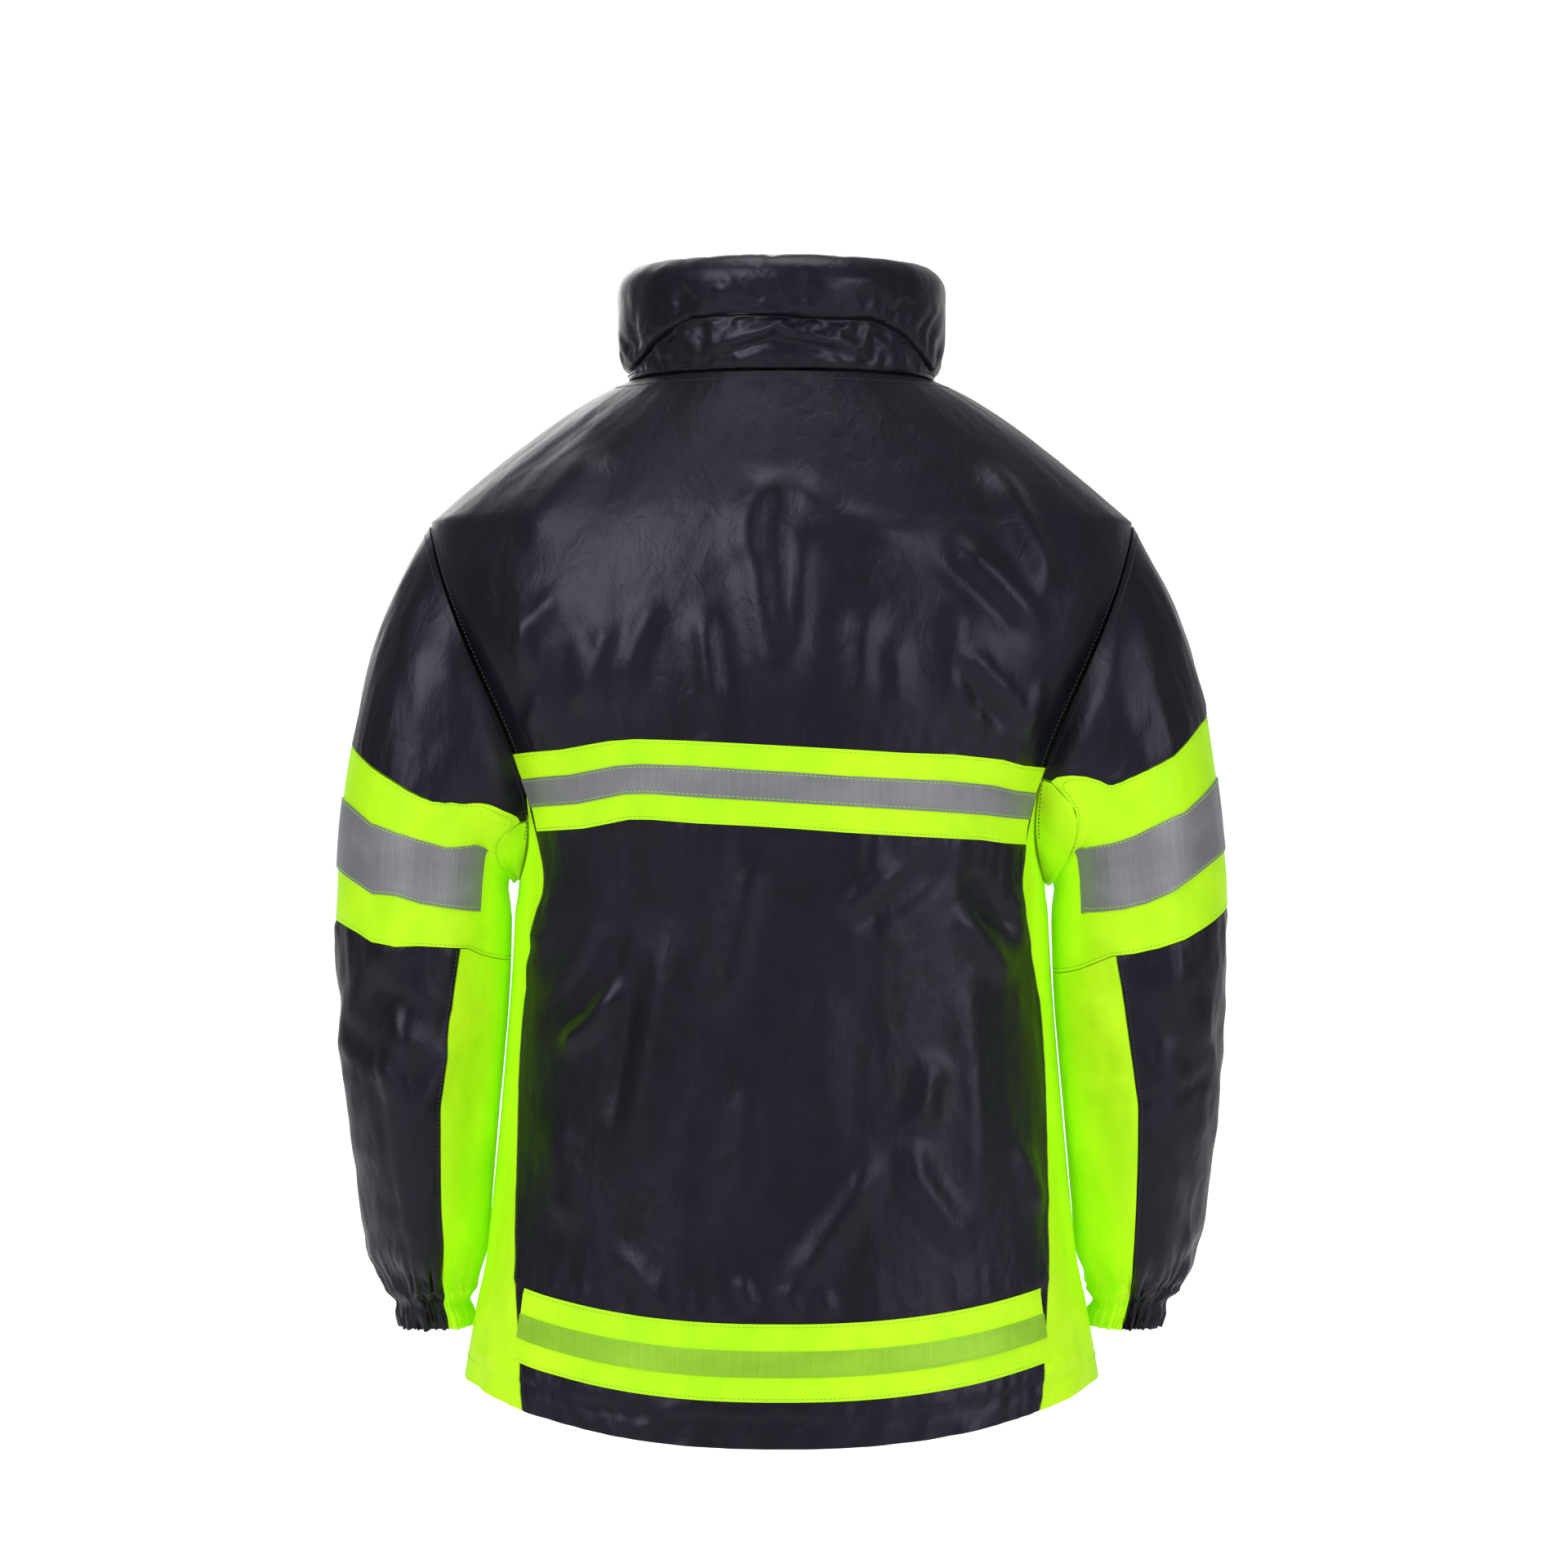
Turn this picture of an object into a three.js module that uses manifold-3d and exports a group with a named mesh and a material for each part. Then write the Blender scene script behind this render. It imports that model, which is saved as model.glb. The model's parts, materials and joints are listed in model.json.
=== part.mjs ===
// High-visibility work coat with a hood rolled into its stand collar, closed, as it hangs on a wearer.
// Millimetres, +Z up. The origin is the centre of the neck opening, level with the back neck seam.
// -Y is the coat's front, and +X is the wearer's left.
import * as THREE from "three";
import { mergeVertices } from "three/addons/utils/BufferGeometryUtils.js";
import Module from "manifold-3d";

const wasm = await Module();
wasm.setup();

// ---- Driving dimensions of the body ----
const NECK_RADIUS = 113; // outside of the stand collar
const NECK_CENTRE_Y = -22;
const COLLAR_HEIGHT = 84;
const FRONT_LEAN = 0.048; // the closed front is one straight line, leaning back as it rises
const SHOULDER_HALF = 258;
const SHOULDER_DROP = 104;
const SHOULDER_SLOPE = 0.78; // 1 is a straight slope, and less is rounder
const ARMPIT_HALF = 192;
const ARMPIT_DROP = 367;
const ARMHOLE_DEPTH = 82; // half of the armhole, front to back
const ARMHOLE_BOW = 25; // how far its seam is scooped in from the line down to the armpit
const WAIST_HALF = 197;
const WAIST_DROP = 458;
const HIP_HALF = 214;
const HIP_DROP = 641;
const HEM_HALF = 228;
const HEM_DROP = 728; // at the side seams
const HEM_TAIL = 33; // how much lower the hem is at the centre back
const BLADE_DEPTH = 152;
const BLADE_DROP = 220;
const WAIST_DEPTH = 143;
const SEAT_DEPTH = 158;
const BODY_FULLNESS = 2.3; // superellipse exponent of the body's section; the collar's is 2, a circle

// ---- Panels and their layers, as distances out from the shell's outer face ----
const SHELL = 2; // shell fabric with its wadding
const LINING = 1.5;
const LAYER_GAP = 2;
const SEAM_GAP = 0.4; // half of what neighbouring panels keep between them
const TRIM = 1;
const TRIM_SEAT = 0.4;
const SIDE_PANEL_HALF = 172; // x of the back panel's edge just under the arm
const BACK_EDGE_WAIST = 188;
const BACK_EDGE_HIP = 191;
const BACK_EDGE_HEM = 183;
const PANEL_TOP = -1; // the panels stop this far under the collar
const ROW = 75; // the panels' facets are at most this tall
const SIDE_SPLIT = -ARMPIT_DROP - 20;
const SIDE_COLUMNS = 6;
const ARMPIT_GAP = 3;
const TRIM_END_GAP = 3; // between a trim's end and its panel's edge

// ---- Trim tapes ----
const CHEST_TRIM_WIDTH = 56;
const CHEST_TRIM_TOP = ARMPIT_DROP - 38 - CHEST_TRIM_WIDTH; // its lower edge stays above the armpit
const SIDE_TOP_DROP = CHEST_TRIM_TOP + CHEST_TRIM_WIDTH / 2; // the side seams leave the armhole here
const HEM_TRIM_RISE = 30; // above the hem
const HEM_TRIM_WIDTH = 50;
const TRIM_END_X = 46; // the front trims stop beside the storm flap's fold line

// ---- Sleeve, as stations from the armhole down: outer edge, inner edge, half depth, centre y ----
const SLEEVE_CLEARANCE = 6; // between the sleeve and the body beside it
const UPPER_ARM_X = 292;
const UPPER_ARM_DROP = 176;
const BAND_TOP_X = 313;
const BAND_TOP_DROP = 254;
const BAND_BOTTOM_X = 326;
const BAND_BOTTOM_DROP = 378;
const FOREARM_X = 319;
const FOREARM_DROP = 521;
const LOW_ARM_X = 304;
const WRIST_DROP = 664;
const WRIST_X = 290;
const CUFF_HALF = 25;
const CUFF_X = 253;
const CUFF_DROP = 695;
const CUFF_DEPTH = 34;
const WRIST_FORWARD = -22;
const BAND_SLANT = 74; // how much lower the band's bottom edge is under the arm
const BAND_TOP = 2; // station numbers
const BAND_BOTTOM = 3;
const FOREARM_TOP = 4;
const CUFF_TOP = 7;
const CUFF_BOTTOM = 8;
const TAPE_FROM = 0.31; // shares of the band that the silver tape covers
const TAPE_TO = 0.71;
const TAPE_END = 144; // degrees round the sleeve from its outer edge
const GUSSET_EDGE = 146; // degrees round the sleeve, where the gusset's seam is
const UNDERARM_FROM = 130; // where the underarm panel meets the band
const UNDERARM_BELOW = { left: 112, right: 99 };
const UNDERARM_FRONT = 118;

// ---- Collar ----
const COLLAR_THICK = 26;
const HOOD_ZIP_HEIGHT = 44;
const HOOD_ZIP_WIDTH = 9;
const HOOD_ZIP_REACH = 105; // degrees each side of the centre back
const HOOD_ZIP_THICK = 2;

// ---- Front closure ----
const ZIP_GAP_HALF = 15; // the front panels stop here, each side of the chain
const TAPE_REACH = 22;
const ZIP_SEAT = 1.6; // the tape behind the panels
const CHAIN_IN = 1;
const CHAIN_OUT = 3.4;
const CHAIN_FACE = -0.6;
const CHAIN_THICK = 4.6;
const ZIP_TAPE = 1;
const ZIP_BOTTOM_RISE = 14;
const ZIP_TOP_SPACE = 6;
const SLIDER_WIDTH = 12;
const SLIDER_LENGTH = 17;
const SLIDER_PLATE = 2;
const SLIDER_CLEARANCE = 0.4;
const SLIDER_POST = 1;
const PIN_RADIUS = 0.9;
const PIN_STANDOFF = 2.7; // the pull's hinge pin over the slider's face
const PULL_LENGTH = 34;
const PULL_WIDTH = 8;
const PULL_THICK = 1.6;
const FLAP_HINGE_X = 40;
const FLAP_INSET = 4; // the flap's own edge from its fold line
const FLAP_RISE = 7; // room over the slider and its pull
const FLAP_THICK = 2.4;
const FLAP_SEAT = 1.2;
const FLAP_FREE_X = -38;
const FLAP_TOP = 12;
const SNAP_X = -26;
const SNAP_RADIUS = 7.5;
const SNAP_HEIGHT = 2.4;
const STUD_RADIUS = 5;
const SNAP_DROPS = [80, 230, 390, 560];

// ---- Pockets ----
const POCKET_IN = 60; // x of the edge nearer the zip
const POCKET_OUT = 152;
const POCKET_TOP = 472;
const POCKET_DEEP = 150;
const POCKET_PLEAT = 22;
const POCKET_WALL = 2;
const POCKET_FLAP_LENGTH = 50; // below the pocket's mouth
const POCKET_FLAP_THICK = 2.4;
const POCKET_HINGE_RISE = 20; // the flap's seam above the mouth
const FLAP_BEND = 0.8; // share of the flap's rows that lies over the pocket

// ---- Loop and label ----
const LOOP_HALF = 30;
const LOOP_SAGITTA = 11;
const LOOP_SEAT = 1.7;
const LOOP_STRAP = 1.8;
const LOOP_WIDTH = 8;
const LOOP_HEIGHT = 8;
const LABEL_HALF = 26;
const LABEL_DROP = 30;
const LABEL_HEIGHT = 38;
const LABEL_SEAT = 1.8; // clear of the lining facets' sagging edges

// ---- Colours ----
const finish = (color, roughness, metalness = 0) =>
  new THREE.MeshStandardMaterial({ color, roughness, metalness });
const NAVY = finish(0x1c1a26, 0.42);
const LIME = finish(0xb4ff0a, 0.6);
const SILVER = finish(0x8d8d90, 0.45);
const LINING_GREY = finish(0x22222a, 0.8);
const METAL = finish(0x8a8a8c, 0.35, 1);
const BLACK_PLASTIC = finish(0x111114, 0.5);
const LABEL_WHITE = finish(0xd8d8d4, 0.8);

const coat = new THREE.Group();

function add(name, geometry, material) {
  const mesh = new THREE.Mesh(geometry, material);
  mesh.name = name;
  coat.add(mesh);
  return mesh;
}

// ---- Small maths ----
const { lerp, clamp, degToRad } = THREE.MathUtils;

// A smooth curve through [z, value] stations, listed from the top down, and level beyond them.
function profile(stations) {
  const last = stations.length - 1;
  const slope = (i) => {
    const [above, below] = [stations[Math.max(i - 1, 0)], stations[Math.min(i + 1, last)]];
    return (below[1] - above[1]) / (below[0] - above[0]);
  };
  return (z) => {
    let i = 0;
    while (i < last - 1 && z < stations[i + 1][0]) i++;
    const [[z0, a], [z1, b]] = [stations[i], stations[i + 1]];
    const step = z1 - z0;
    const u = clamp((z - z0) / step, 0, 1);
    const [ma, mb] = [slope(i) * step, slope(i + 1) * step];
    return a + u * (ma + u * (3 * (b - a) - 2 * ma - mb + u * (2 * (a - b) + ma + mb)));
  };
}
const ease = (share) => {
  const u = clamp(share, 0, 1);
  return u * u * (3 - 2 * u);
};

// ---- The body's surface: t runs from the centre back, 0, over the wearer's left side to the front, pi ----
const armholeMiddle = -(SHOULDER_DROP + ARMPIT_DROP) / 2;
const armholeHalf = (ARMPIT_DROP - SHOULDER_DROP) / 2;
const backDepth = profile([
  [0, NECK_RADIUS + NECK_CENTRE_Y],
  [-BLADE_DROP / 4, lerp(NECK_RADIUS + NECK_CENTRE_Y, BLADE_DEPTH, 0.42)],
  [-BLADE_DROP / 2, BLADE_DEPTH * 0.9],
  [-BLADE_DROP, BLADE_DEPTH],
  [-WAIST_DROP, WAIST_DEPTH],
  [-HEM_DROP, SEAT_DEPTH],
]);
const sideHalf = profile([
  [-ARMPIT_DROP, ARMPIT_HALF],
  [-WAIST_DROP, WAIST_HALF],
  [-HIP_DROP, HIP_HALF],
  [-HEM_DROP, HEM_HALF],
]);
const centreY = (z) =>
  z > 0 ? NECK_CENTRE_Y + FRONT_LEAN * z : NECK_CENTRE_Y * (1 - ease(-z / BLADE_DROP));
const frontDepth = (z) => NECK_RADIUS - NECK_CENTRE_Y - FRONT_LEAN * z;
const fullness = (z) => lerp(2, BODY_FULLNESS, ease(-z / BLADE_DROP));

// x and half depth of the armhole seam.
function armholeX(z) {
  const share = clamp((-z - SHOULDER_DROP) / (ARMPIT_DROP - SHOULDER_DROP), 0, 1);
  return lerp(SHOULDER_HALF, ARMPIT_HALF, share) - ARMHOLE_BOW * Math.sin(Math.PI * share * share);
}
const armholeY = (z) =>
  ARMHOLE_DEPTH * Math.sqrt(Math.max(0, 1 - ((z - armholeMiddle) / armholeHalf) ** 2));

// Half of the body's width, which down to the armpit is the width that puts its surface on the armhole.
function halfWidth(z) {
  if (z >= 0) return NECK_RADIUS;
  if (z > -SHOULDER_DROP)
    return NECK_RADIUS + (SHOULDER_HALF - NECK_RADIUS) * (-z / SHOULDER_DROP) ** SHOULDER_SLOPE;
  if (z > -ARMPIT_DROP) {
    const n = fullness(z);
    const share = armholeY(z) / (backDepth(z) - centreY(z));
    return armholeX(z) / (1 - share ** n) ** (1 / n);
  }
  return sideHalf(z);
}

// Away from the shoulder line the body rounds over more gently than its outline does.
const roundedHalf = profile([
  [0, NECK_RADIUS],
  [-SHOULDER_DROP / 2, lerp(NECK_RADIUS, SHOULDER_HALF, 0.45)],
  [-SHOULDER_DROP, lerp(NECK_RADIUS, SHOULDER_HALF, 0.79)],
  [-(SHOULDER_DROP + BLADE_DROP) / 2, halfWidth(-(SHOULDER_DROP + BLADE_DROP) / 2) * 0.985],
  [-BLADE_DROP, halfWidth(-BLADE_DROP)],
  [-BLADE_DROP - 40, halfWidth(-BLADE_DROP - 40)],
]);
function bodyX(t, z) {
  const s = Math.sin(t);
  const outline = halfWidth(z);
  const half = z > -BLADE_DROP && z < 0 ? lerp(roundedHalf(z), outline, s ** 4) : outline;
  return half * Math.sign(s) * Math.abs(s) ** (2 / fullness(z));
}

function bodySurface(t, z) {
  const c = Math.cos(t);
  const depth = c > 0
    ? (z > 0 ? NECK_RADIUS : backDepth(z) - centreY(z))
    : frontDepth(z) + centreY(z);
  const tail = z < 0 && c > 0 ? HEM_TAIL * c * c * (z / HEM_DROP) ** 2 : 0;
  return new THREE.Vector3(
    bodyX(t, z),
    centreY(z) + depth * Math.sign(c) * Math.abs(c) ** (2 / fullness(z)),
    z - tail,
  );
}

// The t of the back or front surface at a given x.
function backT(x, z) {
  let [low, high] = [0, Math.PI / 2];
  for (let i = 0; i < 36; i++) {
    const t = (low + high) / 2;
    if (bodyX(t, z) < x) low = t;
    else high = t;
  }
  return low;
}
const frontT = (x, z) => Math.PI - backT(x, z);

// A surface's point moved out along its normal. A step of the surface's own parameters gives the normal.
function offset(surface, u, v, level, outward) {
  const du = 1e-3;
  const dv = outward.dv;
  const across = surface(u + du, v).sub(surface(u - du, v));
  const along = surface(u, v + dv).sub(surface(u, v - dv));
  const normal = across.cross(along).normalize().multiplyScalar(outward.sign);
  return surface(u, v).addScaledVector(normal, level);
}
const onBody = (t, z, level) => offset(bodySurface, t, z, level, { dv: 0.5, sign: -1 });

// ---- Closed solids on a surface ----
function facingOut(geometry) {
  const p = geometry.getAttribute("position");
  const index = geometry.index.array;
  const [a, b, c] = [new THREE.Vector3(), new THREE.Vector3(), new THREE.Vector3()];
  let volume = 0;
  for (let i = 0; i < index.length; i += 3) {
    a.fromBufferAttribute(p, index[i]);
    b.fromBufferAttribute(p, index[i + 1]);
    c.fromBufferAttribute(p, index[i + 2]);
    volume += a.dot(b.cross(c));
  }
  if (volume < 0)
    for (let i = 0; i < index.length; i += 3)
      [index[i + 1], index[i + 2]] = [index[i + 2], index[i + 1]];
  return geometry;
}

function mapped(template, place) {
  template.deleteAttribute("normal");
  template.deleteAttribute("uv");
  const geometry = mergeVertices(template, 1e-4);
  const position = geometry.getAttribute("position");
  for (let i = 0; i < position.count; i++) {
    const p = place(new THREE.Vector3().fromBufferAttribute(position, i));
    position.setXYZ(i, p.x, p.y, p.z);
  }
  return facingOut(geometry);
}

// A slab of nu by nv facets: place(u, v, w) has u and v across it, and w is 0 on its inner face and 1 on
// its outer one. Both faces split their facets along the same diagonal, so that layers lie parallel.
// A closed slab is a tube, and u runs once round it.
function slab(place, nu, nv, closed) {
  const columns = closed ? nu : nu + 1;
  const faceSize = columns * (nv + 1);
  const positions = [];
  for (let w = 0; w <= 1; w++)
    for (let j = 0; j <= nv; j++)
      for (let i = 0; i < columns; i++) positions.push(...place(i / nu, j / nv, w).toArray());
  const at = (i, j, w) => w * faceSize + j * columns + (i % columns);
  const index = [];
  const quad = (a, b, c, d) => index.push(a, b, c, a, c, d);
  for (let i = 0; i < nu; i++) {
    for (let j = 0; j < nv; j++) {
      index.push(at(i, j, 1), at(i + 1, j, 1), at(i + 1, j + 1, 1));
      index.push(at(i, j, 1), at(i + 1, j + 1, 1), at(i, j + 1, 1));
      index.push(at(i, j, 0), at(i + 1, j + 1, 0), at(i + 1, j, 0));
      index.push(at(i, j, 0), at(i, j + 1, 0), at(i + 1, j + 1, 0));
    }
    quad(at(i, 0, 0), at(i + 1, 0, 0), at(i + 1, 0, 1), at(i, 0, 1));
    quad(at(i, nv, 1), at(i + 1, nv, 1), at(i + 1, nv, 0), at(i, nv, 0));
  }
  for (let j = 0; j < nv && !closed; j++) {
    quad(at(0, j, 0), at(0, j, 1), at(0, j + 1, 1), at(0, j + 1, 0));
    quad(at(nu, j, 1), at(nu, j, 0), at(nu, j + 1, 0), at(nu, j + 1, 1));
  }
  const geometry = new THREE.BufferGeometry();
  geometry.setAttribute("position", new THREE.Float32BufferAttribute(positions, 3));
  geometry.setIndex(index);
  return facingOut(geometry);
}
const sheet = (place, nu, nv) => slab(place, nu, nv, false);
const tube = (place, nu, nv) => slab(place, nu, nv, true);

function solidOf(geometry) {
  const plain = geometry.clone();
  plain.deleteAttribute("normal");
  plain.deleteAttribute("uv");
  const merged = mergeVertices(plain, 1e-4);
  return new wasm.Manifold(
    new wasm.Mesh({
      numProp: 3,
      vertProperties: merged.getAttribute("position").array,
      triVerts: new Uint32Array(merged.index.array),
    }),
  );
}

function geometryOf(solid) {
  const { vertProperties, triVerts } = solid.getMesh();
  return new THREE.BufferGeometry()
    .setAttribute("position", new THREE.BufferAttribute(vertProperties, 3))
    .setIndex(new THREE.BufferAttribute(triVerts, 1));
}

const join = (first, ...rest) =>
  geometryOf(rest.reduce((sum, g) => sum.add(solidOf(g)), solidOf(first)));
const cut = (first, ...rest) =>
  geometryOf(rest.reduce((sum, g) => sum.subtract(solidOf(g)), solidOf(first)));

// ---- Edges of the body panels ----
const backEdgeX = profile([
  [-SIDE_TOP_DROP, armholeX(-SIDE_TOP_DROP)],
  [-ARMPIT_DROP, SIDE_PANEL_HALF],
  [-WAIST_DROP, BACK_EDGE_WAIST],
  [-(WAIST_DROP + HIP_DROP) / 2, BACK_EDGE_HIP],
  [-HIP_DROP, BACK_EDGE_HIP],
  [-HEM_DROP, BACK_EDGE_HEM],
]);

// The t where the back panel ends: the shoulder seam, then the armhole, then the side panel.
function backEdge(z) {
  if (z > -SHOULDER_DROP) return Math.PI / 2;
  return backT(z > -SIDE_TOP_DROP ? armholeX(z) : backEdgeX(z), z);
}
const frontEdge = (z) => Math.PI - backEdge(z);

// How much t covers one millimetre there, so that a gap in millimetres can be taken off.
function gapT(t, z, gap) {
  const step = 1e-3;
  return (gap * step) / bodySurface(t + step, z).distanceTo(bodySurface(t, z));
}

const inset = (t, z, towards) => t + gapT(t, z, towards * SEAM_GAP);

// Heights from one level to the next, at most ROW apart. A panel and its trims share them, and their
// facets then lie parallel.
function rowsThrough(levels) {
  const rows = [levels[0]];
  for (const next of levels.slice(1)) {
    const from = rows[rows.length - 1];
    const count = Math.ceil((next - from) / ROW);
    for (let i = 1; i <= count; i++) rows.push(lerp(from, next, i / count));
  }
  return rows;
}
const hemTrimLow = -HEM_DROP + HEM_TRIM_RISE;
const hemTrimHigh = hemTrimLow + HEM_TRIM_WIDTH;
const chestTrimLow = -CHEST_TRIM_TOP - CHEST_TRIM_WIDTH;
const panelRows = rowsThrough([
  -HEM_DROP, hemTrimLow, hemTrimHigh, SIDE_SPLIT, -ARMPIT_DROP, chestTrimLow, -SIDE_TOP_DROP,
  -CHEST_TRIM_TOP, -SHOULDER_DROP - 45, -SHOULDER_DROP - 12, -SHOULDER_DROP, -8, PANEL_TOP,
]);
const chestRows = panelRows.filter((z) => z >= chestTrimLow && z <= -CHEST_TRIM_TOP);
const hemRows = panelRows.filter((z) => z >= hemTrimLow && z <= hemTrimHigh);

// A sheet whose v steps through the rows: point(u, z, w) is its corner.
const rowSheet = (rows, nu, point) =>
  sheet((u, v, w) => point(u, rows[Math.round(v * (rows.length - 1))], w), nu, rows.length - 1);

const BACK_COLUMNS = 16;
function backSheet(rows, inner, outer, endGap = 0) {
  return rowSheet(rows, BACK_COLUMNS, (u, z, w) => {
    const end = inset(backEdge(z), z, -1);
    const last = end - gapT(end, z, endGap);
    return onBody(clamp(lerp(-end, end, u), -last, last), z, lerp(inner, outer, w));
  });
}

// A front panel's columns: most of them up to the trims' ends, and the rest from there to the zip.
// side is 1 on the wearer's left and -1 on the right.
const FRONT_COLUMNS = 7;
const TRIM_COLUMNS = 6;
function frontSheet(side, rows, columns, inner, outer, endGap = 0) {
  return rowSheet(rows, columns, (u, z, w) => {
    const column = u * columns;
    const end = inset(frontEdge(z), z, 1);
    const trimEnd = frontT(TRIM_END_X, z);
    const t = column <= TRIM_COLUMNS
      ? lerp(end, trimEnd, column / TRIM_COLUMNS)
      : lerp(trimEnd, frontT(ZIP_GAP_HALF, z), (column - TRIM_COLUMNS) / (FRONT_COLUMNS - TRIM_COLUMNS));
    return onBody(side * Math.max(t, end + gapT(end, z, endGap)), z, lerp(inner, outer, w));
  });
}

// The top of a side panel follows the armhole down from the back panel's edge to the armpit.
function underarmZ(t) {
  let [high, low] = [-SIDE_TOP_DROP, -ARMPIT_DROP];
  const folded = t > Math.PI / 2 ? Math.PI - t : t;
  for (let i = 0; i < 30; i++) {
    const z = (high + low) / 2;
    if (backT(armholeX(z), z) < folded) high = z;
    else low = z;
  }
  return low;
}

// Its lower rows are the back panel's, and its upper ones close in on the armhole.
const sideSheet = (side) =>
  rowSheet(panelRows.filter((z) => z <= -SIDE_TOP_DROP), SIDE_COLUMNS, (u, row, w) => {
    const topT = lerp(backEdge(-SIDE_TOP_DROP), frontEdge(-SIDE_TOP_DROP), u);
    const share = Math.max(0, (row - SIDE_SPLIT) / (-SIDE_TOP_DROP - SIDE_SPLIT));
    const z = Math.min(row, SIDE_SPLIT) + share * (underarmZ(topT) - ARMPIT_GAP - SIDE_SPLIT);
    const t = lerp(inset(backEdge(z), z, 2), inset(frontEdge(z), z, -2), u);
    return onBody(side * t, z, lerp(-SHELL, 0, w));
  });

// ---- The body ----
const trimLevels = [TRIM_SEAT, TRIM_SEAT + TRIM, TRIM_END_GAP];
add("back_panel", backSheet(panelRows, -SHELL, 0), NAVY);
add("back_chest_trim", backSheet(chestRows, ...trimLevels), LIME);
add("back_hem_trim", backSheet(hemRows, ...trimLevels), LIME);

const liningOuter = -SHELL - LAYER_GAP;
const liningInner = liningOuter - LINING;
const liningRows = panelRows.filter((z) => z >= hemTrimLow && z < PANEL_TOP);

// The lining meets at the side seams, under the side panels, and at the armhole above the armpit.
const liningEdge = (z) =>
  z > -SHOULDER_DROP || z < -ARMPIT_DROP ? Math.PI / 2 : backT(armholeX(z), z);

add(
  "back_lining",
  rowSheet(liningRows, BACK_COLUMNS, (u, z, w) => {
    const end = inset(liningEdge(z), z, -2);
    return onBody(lerp(-end, end, u), z, lerp(liningInner, liningOuter, w));
  }),
  LINING_GREY,
);

const SIDES = { left: 1, right: -1 };

for (const [name, side] of Object.entries(SIDES)) {
  add(`${name}_side_panel`, sideSheet(side), LIME);
  add(`${name}_front_panel`, frontSheet(side, panelRows, FRONT_COLUMNS, -SHELL, 0), NAVY);
  add(`${name}_chest_trim`, frontSheet(side, chestRows, TRIM_COLUMNS, ...trimLevels), LIME);
  add(`${name}_hem_trim`, frontSheet(side, hemRows, TRIM_COLUMNS, ...trimLevels), LIME);
  add(
    `${name}_front_lining`,
    rowSheet(liningRows, TRIM_COLUMNS, (u, z, w) => {
      const t = lerp(inset(Math.PI - liningEdge(z), z, 2), frontT(TRIM_END_X, z), u);
      return onBody(side * t, z, lerp(liningInner, liningOuter, w));
    }),
    LINING_GREY,
  );
}

// ---- The stand collar: a shell over the rolled hood, and a facing inside it ----
const collarFront = frontT(ZIP_GAP_HALF, 1);
const capRadius = COLLAR_THICK / 2;
const wallHeight = COLLAR_HEIGHT - capRadius;

// Radial inset and height along the collar's section: up the outside, over the top, down the inside.
function collarSection(v) {
  if (v < 1) return [0, lerp(1, wallHeight, v), 1, 0];
  if (v < 2) {
    const a = Math.PI * (v - 1);
    const [c, s] = [Math.cos(a), Math.sin(a)];
    return [capRadius * (1 - c), wallHeight + capRadius * s, c, s];
  }
  return [COLLAR_THICK, lerp(wallHeight, 1, v - 2), -1, 0];
}

function onCollar(t, v, level) {
  const [back, z, outX, outZ] = collarSection(v);
  const r = NECK_RADIUS - back + level * outX;
  return new THREE.Vector3(r * Math.sin(t), centreY(z) + r * Math.cos(t), z + level * outZ);
}

const COLLAR_COLUMNS = 20;
const collarSheet = (steps) =>
  rowSheet(steps, COLLAR_COLUMNS, (u, v, w) =>
    onCollar(lerp(-collarFront, collarFront, u), v, lerp(-SHELL, 0, w)));
const CAP_SPLIT = 1.7; // the shell folds over the top this far down the collar's section
add("collar_shell", collarSheet([0, 1, 1.25, 1.5, CAP_SPLIT]), NAVY);
add("collar_facing", collarSheet([CAP_SPLIT + 0.015, 2, 3]), LINING_GREY);
add(
  "rolled_hood",
  sheet(
    (u, v, w) => {
      const t = lerp(-collarFront + 0.2, collarFront - 0.2, u);
      const z = lerp(4, wallHeight, v);
      const r = NECK_RADIUS - lerp(COLLAR_THICK - SHELL - LAYER_GAP, SHELL + LAYER_GAP, w);
      return new THREE.Vector3(r * Math.sin(t), centreY(z) + r * Math.cos(t), z);
    },
    20,
    1,
  ),
  NAVY,
);

const hoodZipCentre = new THREE.Vector3(0, centreY(HOOD_ZIP_HEIGHT), HOOD_ZIP_HEIGHT);

// A block bent round the hood zip's own circle: t in radians, z from its height, r out from the collar.
const hoodArc = (t0, t1, z0, z1, r0, r1, nu) =>
  sheet(
    (u, v, w) => {
      const t = lerp(t0, t1, u);
      const r = NECK_RADIUS + lerp(r0, r1, w);
      return new THREE.Vector3(r * Math.sin(t), r * Math.cos(t), lerp(z0, z1, v)).add(hoodZipCentre);
    },
    nu,
    1,
  );
const hoodReach = degToRad(HOOD_ZIP_REACH);
const leanRoom = (FRONT_LEAN * HOOD_ZIP_WIDTH) / 2; // the collar leans, and the zip's circle doesn't
const hoodSeat = TRIM_SEAT + leanRoom;
const hoodHalf = HOOD_ZIP_WIDTH / 2;
add(
  "hood_zip",
  hoodArc(-hoodReach, hoodReach, -hoodHalf, hoodHalf, hoodSeat, hoodSeat + HOOD_ZIP_THICK, 24),
  BLACK_PLASTIC,
);
const HOOD_SLIDER_HALF = degToRad(3.2);
const HOOD_PULL_LENGTH = 18;
const hoodSliderFoot = hoodSeat + HOOD_ZIP_THICK + SLIDER_CLEARANCE;
const hoodSliderAt = -hoodReach + HOOD_SLIDER_HALF;
const hoodTab = HOOD_SLIDER_HALF / 2;
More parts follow.
